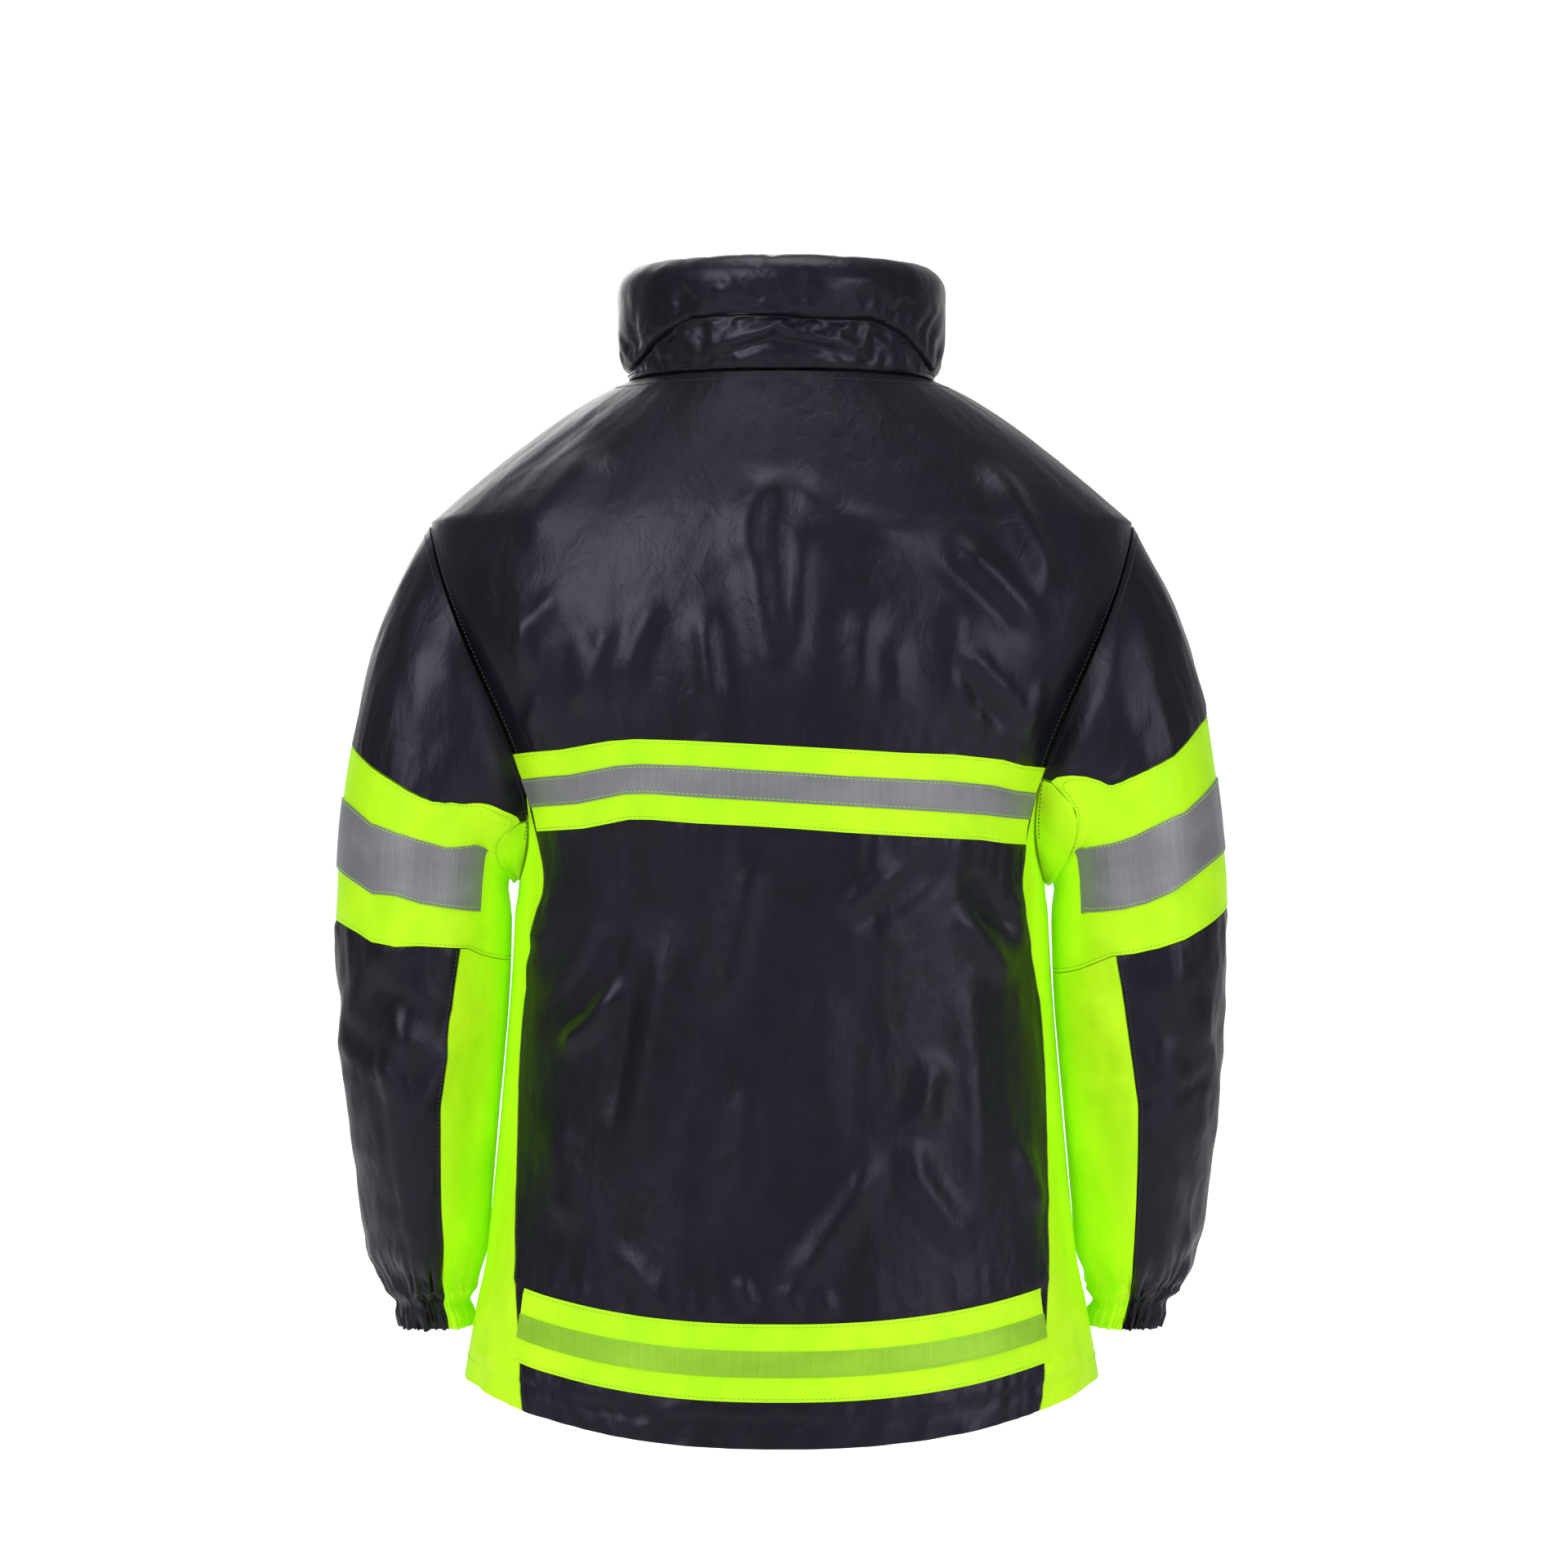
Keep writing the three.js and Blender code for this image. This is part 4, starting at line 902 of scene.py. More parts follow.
@dataclass(frozen=True)
class Drape:
    """How far the body's cloth stands off its form."""

    torso: TorsoForm
    folds: tuple[Fold, ...] = BACK_FOLDS
    chest_x: tuple[float, ...] = (-205, -165, -148, -114, -79, -45, -10, 24, 59, 93, 110, 145, 179, 205)
    chest_z: tuple[tuple[float, ...], ...] = (
        (-286, -283, -279, -276, -275, -273, -271, -269, -267, -265.5, -266.5, -272, -274.5, -276),
        (-304, -300.5, -297, -294, -292.5, -291, -288.5, -286.5, -284, -282.5, -283.5, -289.5, -292, -294),
        (-323, -319.5, -317.5, -315, -313, -311, -309, -307, -305, -302.5, -303, -309.5, -312, -314),
        (-341, -337.5, -335, -333, -331, -329, -326.5, -324.5, -323, -320.5, -320.5, -327, -329.5, -331),
    )
    hem_low: float = -698
    hem_high: float = -648

    def chest_line(self, line: int, x: Array) -> Array:
        """z of one of the back chest stripe's four edges, in millimetres, from the top edge down."""
        return np.interp(x, self.chest_x, self.chest_z[line])

    def height(self, t: Array, z: Array) -> Array:
        """The stand-off at each point, in millimetres.

        Args:
            t: Angle round the body, in radians.
            z: Height, in mm.

        Returns:
            Stand-off, in mm.
        """
        p = self.torso.point(t, z)
        x, level = p[..., 0], p[..., 2]
        back = ease((np.cos(t) + 0.05) / 0.3)
        front = ease((-np.cos(t) + 0.05) / 0.3)
        around = 190 * t
        long = 0.6 * ruffle(around / 34 + 0.5 * ruffle(around / 90, z / 160, 5), z / 165, 1)
        broad = 0.5 * ruffle(around / 82, z / 120, 2)
        small = 0.5 * ruffle(around / 15 + 0.4 * ruffle(around / 40, z / 40, 8), z / 46, 3)
        crisp = ruffle(around / 6.5, z / 9.5, 4)
        upper = ease((z + 330) / 90)
        h = (2.6 - 1.0 * upper) * long + 2.2 * broad + (0.9 - 0.3 * upper) * small + 0.22 * crisp
        for fold in self.folds:
            h = h + back * 1.35 * fold.lift(x, level)
        h = h + front * 3.0 * ruffle(around / 46 + z / 240, z / 150, 11)
        h = h + front * 1.6 * ruffle(around / 24 - z / 130, z / 60, 12)
        # Puckers along the stitched edges of the stripes.
        top, low = lerp(-273.0, self.chest_line(0, x), back), lerp(-329.0, self.chest_line(3, x), back)
        pull = np.abs(ruffle(around / 7.5, z / 70, 6)) + 0.5 * ruffle(around / 17, z / 80, 7)
        edges = ((level, top, 1, 20), (level, low, -1, 24), (z, self.hem_high, 1, 18), (z, self.hem_low, -1, 12))
        for at, edge, sign, reach in edges:
            off = (at - edge) * sign
            h = h + np.where(off > 0, 2.1 * pull * (ease(off / 4)) * np.exp(-off / reach), 0)
        # The stripes' tape holds the cloth flat.
        chest = ease((top - level + 3) / 5) * ease((level - low + 3) / 5)
        hem = ease((self.hem_high - z + 2) / 5) * ease((z - self.hem_low + 2) / 5)
        h = h * (1 - 0.72 * np.maximum(chest, hem)) + 0.5 * chest * ruffle(around / 26, z / 60, 9)
        # The hem band: a folded hem, stitched, and crinkled above and below its stitches.
        band = ease((self.hem_low - z) / 4)
        crumple = ruffle((around + 0.6 * z) / 8, z / 13, 21) + 0.6 * ruffle((around - 0.8 * z) / 5, z / 8, 22)
        h = h + band * (0.9 * crumple + 0.8)
        line = np.abs(z + self.torso.hem_drop - 15)
        h = h - 1.3 * band * np.exp(-((line / 1.6) ** 2))
        # Towards the armhole seam the cloth comes down to the seam line.
        beside = (z < -self.torso.shoulder_drop + 20) & (z > -self.torso.armpit_drop)
        off = np.where(beside, self.torso.armhole_x(z) - np.abs(x), 99.0)
        h = h * ease(np.maximum(off, 0) / 16)
        h = h * ease((-z) / 14)
        side = ease((np.abs(np.cos(t)) - 0.0) / 0.3)
        h = np.clip(h, -3.5, 9.5) * lerp(0.55, 1.0, side)
        hip = ease((-z - 372) / 20) * ease((0.3 - np.abs(np.cos(t))) / 0.16)
        return lerp(h, lerp(2.1, 4.2, ease((-z - 640) / 40)) + 0.15 * small, hip)

    def dip(self, t: Array, z: Array) -> Array:
        """How far the armhole seam is pulled in at each point, along y, in millimetres.

        Args:
            t: Angle round the body, in radians.
            z: Height, in mm.

        Returns:
            Shift along y, in mm.
        """
        p = self.torso.point(t, z)
        off = self.torso.armhole_x(z) - np.abs(p[..., 0])
        inside = (z < -130) & (z > -self.torso.armpit_drop)
        deep = ease((-z - 130) / 90) * ease((z + self.torso.armpit_drop) / 30)
        return np.where(inside, 9.0 * deep * np.exp(-((np.maximum(off, 0) / 9.0) ** 2)), 0) * np.sign(np.cos(t))

    def place(self, t: Array, z: Array, level: float | Array, share: float = 1.0) -> Array:
        """Points of draped cloth, in metres.

        Args:
            t: Angle round the body.
            z: Height in mm.
            level: Distance out from the cloth's outer face, in mm.
            share: How much of the folds this layer follows.

        Returns:
            The points, with x, y and z last.
        """
        t, z = np.broadcast_arrays(np.asarray(t, float), np.asarray(z, float))
        p = self.torso.point(t, z) + self.torso.normal(t, z) * (level + share * self.height(t, z))[..., None]
        p[..., 1] -= self.dip(t, z)
        return p * MM


# ---- Meshes ----
@dataclass
class Net:
    """A piece's mesh as it is put together."""

    points: list[Array] = field(default_factory=list)
    faces: list[tuple[int, ...]] = field(default_factory=list)
    cuts: list[Array] = field(default_factory=list)
    bands: list[int] = field(default_factory=list)
    count: int = 0

    def _grid(self, rows: int, columns: int, base: int, flip: bool, wrap: bool) -> None:
        """Adds a grid's faces.

        Args:
            rows: How many rows of points it has.
            columns: How many points a row has.
            base: The first point's number.
            flip: Whether the faces turn round.
            wrap: Whether the last column joins the first.
        """
        for j in range(rows - 1):
            for i in range(columns if wrap else columns - 1):
                k = (i + 1) % columns
                here, below = base + j * columns, base + (j + 1) * columns
                quad = (here + i, here + k, below + k, below + i)
                self.faces.append(quad[::-1] if flip else quad)

    def loft(self, rings: Array, cut: Array | None = None) -> "Net":
        """Adds a solid through closed rings of points, with its ends closed.

        Args:
            rings: Rings by points round each.
            cut: The flat coordinates of each point, or None to measure them.

        Returns:
            The net.
        """
        rows, columns = rings.shape[:2]
        if cut is None:
            cut = measure(rings)
        middle = rings.mean(1)
        n = np.cross(rings[0, 1] - rings[0, 0], rings[1, 0] - rings[0, 0])
        flip = float(n @ (rings[0, 0] - middle[0])) < 0
        base = self.count
        self.points.append(rings.reshape(-1, 3))
        self.cuts.append(cut.reshape(-1, 2))
        self.count += rows * columns
        self._grid(rows, columns, base, flip, True)
        first = tuple(range(base, base + columns))
        last = tuple(range(base + (rows - 1) * columns, base + rows * columns))
        self.faces += [first if flip else first[::-1], last[::-1] if flip else last]
        self.bands += [0] * ((rows - 1) * columns + 2)
        return self

    def sheet(self, outer: Array, inner: Array, cut: Array | None = None, bands: Sequence[int] | None = None) -> "Net":
        """Adds a closed sheet of cloth.

        Args:
            outer: Its outer face, rows by columns of points.
            inner: Its inner face.
            cut: The flat cut's coordinates of each point, or None to measure them on the outer face.
            bands: A material number for each row of faces.

        Returns:
            The net.
        """
        rows, columns = outer.shape[:2]
        if cut is None:
            cut = measure(outer)
        a, b = rows // 2, columns // 2
        a, b = min(a, rows - 2), min(b, columns - 2)
        n = np.cross(outer[a, b + 1] - outer[a, b], outer[a + 1, b] - outer[a, b])
        flip = float(n @ (outer[a, b] - inner[a, b])) < 0
        size = rows * columns
        base = self.count
        self.points += [outer.reshape(-1, 3), inner.reshape(-1, 3)]
        self.cuts += [cut.reshape(-1, 2), cut.reshape(-1, 2) + 3.7]
        self.count += 2 * size
        before = len(self.faces)
        self._grid(rows, columns, base, flip, False)
        self._grid(rows, columns, base + size, not flip, False)
        per_row = [0] * (rows - 1) if bands is None else list(bands)
        self.bands += [band for band in per_row for _ in range(columns - 1)] * 2
        ring = (
            [i for i in range(columns)]
            + [j * columns + columns - 1 for j in range(1, rows)]
            + [(rows - 1) * columns + i for i in range(columns - 2, -1, -1)]
            + [j * columns for j in range(rows - 2, 0, -1)]
        )
        for p, q in zip(ring, ring[1:] + ring[:1]):
            quad = (base + q, base + p, base + size + p, base + size + q)
            self.faces.append(quad[::-1] if flip else quad)
            row = min(max(min(p, q) // columns, 0), rows - 2)
            self.bands.append(per_row[row])
        assert len(self.faces) - before == 2 * (rows - 1) * (columns - 1) + len(ring)
        return self

    def solid(self, points: Array, faces: Sequence[Sequence[int]]) -> "Net":
        """Adds a small closed solid.

        Args:
            points: Its corners.
            faces: Each face's corners.

        Returns:
            The net.
        """
        self.points.append(points)
        self.cuts.append(points[:, :2])
        self.faces += [tuple(self.count + i for i in face) for face in faces]
        self.bands += [0] * len(faces)
        self.count += len(points)
        return self

    def make(self, name: str, sharp: float = 45) -> bpy.types.Object:
        """Makes the piece.

        Args:
            name: Its name.
            sharp: Edges bent more than this many degrees stay crisp.

        Returns:
            The new object.
        """
        mesh = bpy.data.meshes.new(name)
        points = np.concatenate(self.points)
        mesh.from_pydata(points.tolist(), [], self.faces)
        loops = np.zeros(len(mesh.loops), np.int32)
        mesh.loops.foreach_get("vertex_index", loops)
        layer = mesh.uv_layers.new(name="cut")
        layer.uv.foreach_set("vector", np.concatenate(self.cuts)[loops].astype(np.float32).ravel())
        mesh.polygons.foreach_set("material_index", np.array(self.bands, np.int32))
        mesh.polygons.foreach_set("use_smooth", np.ones(len(self.faces), bool))
        mesh.update()
        mesh.set_sharp_from_angle(angle=math.radians(sharp))
        obj = bpy.data.objects.new(name, mesh)
        bpy.context.scene.collection.objects.link(obj)
        LOG.info("%s: %d points", name, len(points))
        return obj


def measure(face: Array) -> Array:
    """A sheet's flat coordinates, measured along its rows and columns from its middle.

    Args:
        face: Rows by columns of points.

    Returns:
        Flat coordinates of each point, in metres.
    """
    across = np.linalg.norm(np.diff(face, axis=1), axis=-1)
    along = np.linalg.norm(np.diff(face, axis=0), axis=-1)
    u = np.concatenate([np.zeros((len(face), 1)), np.cumsum(across, 1)], 1)
    u = u - u[:, [u.shape[1] // 2]]
    v = np.concatenate([[0.0], np.cumsum(along.mean(1))])
    return np.stack([u, np.repeat(v[:, None], face.shape[1], 1)], -1)


def stitches(net: Net, path: Array, normals: Array, pitch: float = 0.0032, width: float = 0.0007) -> None:
    """Adds a row of stitches to a net.

    Args:
        net: The net.
        path: The seam line's points.
        normals: The cloth's outward normal at each.
        pitch: Length from one stitch to the next.
        width: The thread's width.
    """
    runs = np.concatenate([[0.0], np.cumsum(np.linalg.norm(np.diff(path, axis=0), axis=1))])
    count = int(runs[-1] / pitch)
    if count < 2:
        return
    at = (np.arange(count) + 0.5) * pitch
    place = lambda d, rows: np.stack([np.interp(d, runs, rows[:, k]) for k in range(3)], -1)
    mid, up = place(at, path), place(at, normals)
    along = place(at + pitch * 0.36, path) - place(at - pitch * 0.36, path)
    up = up / np.linalg.norm(up, axis=1, keepdims=True)
    side = np.cross(along, up)
    side = side / np.maximum(np.linalg.norm(side, axis=1, keepdims=True), 1e-9) * width / 2
    rise = up * width * 0.55
    half = along / 2
    corners = np.stack(
        [mid - half - rise * 0.4, mid + half - rise * 0.4, mid - half * 0.55 + side, mid + half * 0.55 + side,
         mid - half * 0.55 + rise, mid + half * 0.55 + rise, mid - half * 0.55 - side, mid + half * 0.55 - side,
         mid - half * 0.55 - rise, mid + half * 0.55 - rise], 1
    )
    faces = [(0, 2, 4), (0, 4, 6), (0, 6, 8), (0, 8, 2), (1, 5, 3), (1, 7, 5), (1, 9, 7), (1, 3, 9),
             (2, 3, 5, 4), (4, 5, 7, 6), (6, 7, 9, 8), (8, 9, 3, 2)]
    for stitch in corners:
        net.solid(stitch, faces)


# ---- Sub-assemblies ----
@dataclass
class Torso:
    """The body: back, side and front panels, the striped trims on them, and their lining."""

    drape: Drape
    shell: float = 2.0
    step: float = 4.0
    seam: float = 0.5
    lining_level: float = -8.5
    lining: float = 1.5
    side_split: float = -387
    side_top: float = -301
    armpit_gap: float = 3
    zip_gap: float = 15
    trim_end_x: float = 46
    trim_gap: float = 3

    def levels(self, *stops: float) -> Array:
        """Heights through the stops, close enough together for the cloth's folds.

        Args:
            stops: Heights that need a row of their own, in mm.

        Returns:
            Heights from the top down, in mm.
        """
        rows = [np.array([stops[0]])]
        for a, b in zip(stops[:-1], stops[1:]):
            count = max(1, int(math.ceil(abs(b - a) / self.step)))
            rows.append(np.linspace(a, b, count + 1)[1:])
        return np.concatenate(rows)

    def _gap(self, t: Array, z: Array, gap: float) -> Array:
        """How much of t covers that many millimetres."""
        form = self.drape.torso
        return gap * 1e-3 / np.linalg.norm(form.point(t + 1e-3, z) - form.point(t, z), axis=-1)

    def back_span(self, z: Array, columns: int, gap: float) -> Array:
        """t across the back panel in each row, with its ends that far from the seam.

        Args:
            z: Height, in mm.
            columns: How many points a row has.
            gap: Distance from the seam, in mm.

        Returns:
            Angles, rows by columns.
        """
        edge = self.drape.torso.back_edge(z)
        edge = edge - self._gap(edge, z, gap)
        return lerp(-edge[:, None], edge[:, None], np.linspace(0, 1, columns)[None])

    def front_span(self, z: Array, columns: int, gap: float, end_x: float) -> Array:
        """t across a front panel in each row, from the side seam to end_x.

        Args:
            z: Height, in mm.
            columns: How many points a row has.
            gap: Distance from the seam, in mm.
            end_x: x where it ends, in millimetres.

        Returns:
            Angles, rows by columns.
        """
        form = self.drape.torso
        edge = math.pi - form.back_edge(z)
        edge = edge + self._gap(edge, z, gap)
        end = form.front_t(np.full(z.shape, end_x), z)
        return lerp(edge[:, None], end[:, None], np.linspace(0, 1, columns)[None])

    def cloth(self, name: str, t: Array, z: Array, level: float, thick: float, share: float = 1.0) -> bpy.types.Object:
        """Makes one draped panel.

        Args:
            name: Its name.
            t: Angle round the body, in radians.
            z: Height, in mm.
            level: Distance out from the cloth's outer face, in mm.
            thick: Its thickness, in mm.
            share: How much of the folds it follows.

        Returns:
            The piece.
        """
        outer = self.drape.place(t, z, level, share)
        inner = self.drape.place(t, z, level - thick, share)
        return Net().sheet(outer, inner).make(name)

    def trim(self, net: Net, t: Array, tops: Array, lows: Array, level: float, band: int, rows: int = 7) -> None:
        """Adds one strip of a stripe to a net, between two edge lines.

        Args:
            net: The net that takes it.
            t: Angle round the body, in radians.
            tops: Heights of its top edge.
            lows: Heights of its lower edge.
            level: Distance out from the cloth's outer face, in mm.
            band: Its material number.
            rows: How many rows of points it has.
        """
        share = np.linspace(0, 1, rows)[:, None]
        z = lerp(lows[None], tops[None], share)
        t = np.broadcast_to(t, z.shape)
        outer, inner = self.drape.place(t, z, level + 0.8), self.drape.place(t, z, level)
        net.sheet(outer, inner, bands=[band] * (rows - 1))

    def row_of_stitches(self, net: Net, t: Array, z: Array, level: float) -> None:
        """Adds a stitched line along the cloth.

        Args:
            net: The net that takes it.
            t: Angle round the body, in radians.
            z: Height, in mm.
            level: Distance out from the cloth's outer face, in mm.
        """
        path = self.drape.place(t, z, level)
        out = self.drape.place(t, z, level + 1.0) - path
        stitches(net, path, out)

    def striped(self, name: str, node: str, t: Array, lines: Sequence[Array], silver: Any) -> bpy.types.Object:
        """Makes a lime band with a silver tape along its middle, each edge stitched.

        Args:
            name: The piece's name.
            node: The CAD node that it stands for.
            t: Angle of each column.
            lines: The four edges' heights at each column, from the top down.
            silver: The tape's finish.

        Returns:
            The piece.
        """
        net = Net()
        self.trim(net, t, lines[0], lines[3], 0.3, 0, 13)
        self.trim(net, t, lines[1], lines[2], 1.25, 1)
        sewn = Net()
        for line, off, level in ((0, -2.0, 1.15), (3, 2.0, 1.15), (1, -1.6, 2.1), (2, 1.6, 2.1)):
            self.row_of_stitches(sewn, t, lines[line] + off, level)
        obj = WARDROBE.put(net.make(name), Wardrobe.LIME, silver)
        thread = WARDROBE.put(sewn.make(name + "_stitching"), Wardrobe.LIME_THREAD)
        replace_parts(obj, node)
        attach(obj, "coat_body")
        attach(thread, "coat_body")
        width = float(np.linalg.norm(np.diff(self.drape.place(t, lines[0], 0), axis=0), axis=1).sum())
        high = float(np.abs(lines[0] - lines[3]).mean()) * MM
        return obj

    def declare(self, t: Array, z: Array) -> None:
        """Measures the edges of the panel's plain form between its rows and columns, and keeps nothing of them.

        Args:
            t: Angle round the body, in radians.
            z: Heights, in mm.
        """
        flat = self.drape.torso.point(t, np.broadcast_to(z, t.shape)) * MM
        a = flat[:-1, 1:] - flat[:-1, :-1]
        b = flat[1:, :-1] - flat[:-1, :-1]

    def build(self) -> None:
        """Makes every piece of the body."""
        self.build_back()
        for side in Side:
            self.build_side(side)
            self.build_front(side)

    def build_back(self) -> None:
        """Makes the back panel, its stripes and its lining."""
        form = self.drape.torso
        rows = self.levels(-form.hem_drop, -648, -387, -367, -301, -149, -116, -104, -8, -1)
        t = self.back_span(rows, 141, self.seam)
        z = rows[:, None]
        back = WARDROBE.put(self.cloth("back_panel_cloth", t, z, 0, self.shell), Wardrobe.NAVY)
        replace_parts(back, "back_panel")
        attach(back, "coat_body")
        self.declare(t, z)

        around = np.linspace(-1, 1, 181)
        edge = float(form.back_edge(np.array([-300.0]))[0])
        ends = edge - float(self._gap(np.array([edge]), np.array([-300.0]), self.trim_gap)[0])
        chest_t = around * ends
        flat = form.point(chest_t, np.full(chest_t.shape, -300.0))
        tail = -300.0 - flat[:, 2]
        lines = [self.drape.chest_line(k, flat[:, 0]) + tail for k in range(4)]
        self.striped("back_chest_stripe", "back_chest_trim", chest_t, lines, Wardrobe.SILVER)
        edge = float(form.back_edge(np.array([-673.0]))[0])
        hem_t = around * (edge - float(self._gap(np.array([edge]), np.array([-673.0]), self.trim_gap)[0]))
        heights = (-648.0, -665.4, -682.0, -698.0)
        lines = [np.full(hem_t.shape, h) for h in heights]
        # The hem tape's colour is a painted lime reflection and shade.
        self.striped("back_hem_stripe", "back_hem_trim", hem_t, lines, Wardrobe.SILVER_HEM)

        rows = self.levels(-698, -387, -367, -104, -8)
        low = (rows > -104) | (rows < -367)
        edge = np.where(low, math.pi / 2, form.back_t(form.armhole_x(rows), rows))
        edge = edge - self._gap(edge, rows, 3.0)
        t = lerp(-edge[:, None], edge[:, None], np.linspace(0, 1, 81)[None])
        lining = WARDROBE.put(
            self.cloth("back_lining_quilt", t, rows[:, None], self.lining_level, self.lining, 0.45), Wardrobe.LINING
        )
        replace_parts(lining, "back_lining")
        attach(lining, "coat_body")
        self.declare(t, rows[:, None])

        sewn = Net()
        low = np.full(161, -form.hem_drop + 15)
        end = self.back_span(np.array([-713.0]), 161, 3.0)[0]
        self.row_of_stitches(sewn, end, low, 0.15)
        down = np.linspace(-724, -300, 240)
        seam_t = form.back_edge(down)
        seam_t = seam_t - self._gap(seam_t, down, 3.0)
        down_arm = np.linspace(-296, -108, 110)
        arm_t = form.back_edge(down_arm)
        arm_t = arm_t - self._gap(arm_t, down_arm, 3.2)
        for side in Side:
            self.row_of_stitches(sewn, side.value * seam_t, down, 0.15)
            self.row_of_stitches(sewn, side.value * arm_t, down_arm, 0.15)
        top = np.linspace(-1.3, 1.3, 200)
        self.row_of_stitches(sewn, top, np.full(200, -6.0), 0.15)
        thread = WARDROBE.put(sewn.make("back_panel_stitching"), Wardrobe.NAVY_THREAD)
        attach(thread, "coat_body")

    def underarm_z(self, t: Array) -> Array:
        """How high a side panel reaches at each t: it follows the armhole down to the armpit.

        Args:
            t: Angle round the body, in radians.

        Returns:
            Heights, in mm.
        """
        form = self.drape.torso
        high, low = np.full(t.shape, self.side_top), np.full(t.shape, -form.armpit_drop)
        folded = np.where(t > math.pi / 2, math.pi - t, t)
        for _ in range(30):
            z = (high + low) / 2
            inside = form.back_t(form.armhole_x(z), z) < folded
            high, low = np.where(inside, z, high), np.where(inside, low, z)
        return low

    def build_side(self, side: Side) -> None:
        """Makes one lime side panel.

        Args:
            side: Its side.
        """
        form = self.drape.torso
        rows = self.levels(-form.hem_drop, self.side_split, self.side_top)
        u = np.linspace(0, 1, 37)
        top_edge = float(form.back_edge(np.array([self.side_top]))[0])
        top = self.underarm_z(lerp(top_edge, math.pi - top_edge, u)) - self.armpit_gap
        share = np.maximum(0, (rows - self.side_split) / (self.side_top - self.side_split))[:, None]
        z = np.minimum(rows, self.side_split)[:, None] + share * (top[None] - self.side_split)
        edge = form.back_edge(z)
        edge = edge + self._gap(edge, z, self.seam)
        t = lerp(edge, math.pi - edge, u[None])
        obj = WARDROBE.put(self.cloth(f"{side.word}_side_panel_cloth", side.value * t, z, 0, self.shell), Wardrobe.LIME)
        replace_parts(obj, f"{side.word}_side_panel")
        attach(obj, "coat_body")
        self.declare(side.value * t, z)
        sewn = Net()
        low = np.full(60, -form.hem_drop + 15.0)
        edge = float(form.back_edge(np.array([-713.0]))[0])
        self.row_of_stitches(sewn, side.value * np.linspace(edge + 0.02, math.pi - edge - 0.02, 60), low, 0.15)
        thread = WARDROBE.put(sewn.make(f"{side.word}_side_panel_stitching"), Wardrobe.LIME_THREAD)
        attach(thread, "coat_body")

    def build_front(self, side: Side) -> None:
        """Makes one front panel, its stripes and its lining.

        Args:
            side: Its side.
        """
        form, sign = self.drape.torso, side.value
        rows = self.levels(-form.hem_drop, -387, -367, -301, -149, -116, -104, -8, -1)
        t = sign * self.front_span(rows, 61, self.seam, self.zip_gap)
        z = rows[:, None]
        panel = WARDROBE.put(self.cloth(f"{side.word}_front_panel_cloth", t, z, 0, self.shell), Wardrobe.NAVY)
        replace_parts(panel, f"{side.word}_front_panel")
        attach(panel, "coat_body")
        self.declare(t, z)
        for part, heights, tape in (
            ("chest", (-273.0, -291.0, -311.0, -329.0), Wardrobe.SILVER),
            # The hem tape's colour is a painted lime reflection and shade.
            ("hem", (-648.0, -665.4, -682.0, -698.0), Wardrobe.SILVER_HEM),
        ):
            middle = np.array([sum(heights) / 4])
            along = sign * self.front_span(middle, 91, self.trim_gap, self.trim_end_x)[0]
            lines = [np.full(along.shape, h) for h in heights]
            self.striped(f"{side.word}_{part}_stripe", f"{side.word}_{part}_trim", along, lines, tape)
        rows = self.levels(-698, -387, -367, -104, -8)
        low = (rows > -104) | (rows < -367)
        edge = math.pi - np.where(low, math.pi / 2, form.back_t(form.armhole_x(rows), rows))
        edge = edge + self._gap(edge, rows, 3.0)
        end = form.front_t(np.full(rows.shape, self.trim_end_x), rows)
        t = sign * lerp(edge[:, None], end[:, None], np.linspace(0, 1, 45)[None])
        name = f"{side.word}_front_lining"
        lining = self.cloth(name + "_quilt", t, rows[:, None], self.lining_level, self.lining, 0.45)
        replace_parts(WARDROBE.put(lining, Wardrobe.LINING), name)
        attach(lining, "coat_body")
        self.declare(t, rows[:, None])
        sewn = Net()
        low = np.full(90, -form.hem_drop + 15.0)
        self.row_of_stitches(sewn, sign * self.front_span(np.array([-713.0]), 90, 3.0, 24.0)[0], low, 0.15)
        thread = WARDROBE.put(sewn.make(f"{side.word}_front_panel_stitching"), Wardrobe.NAVY_THREAD)
        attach(thread, "coat_body")


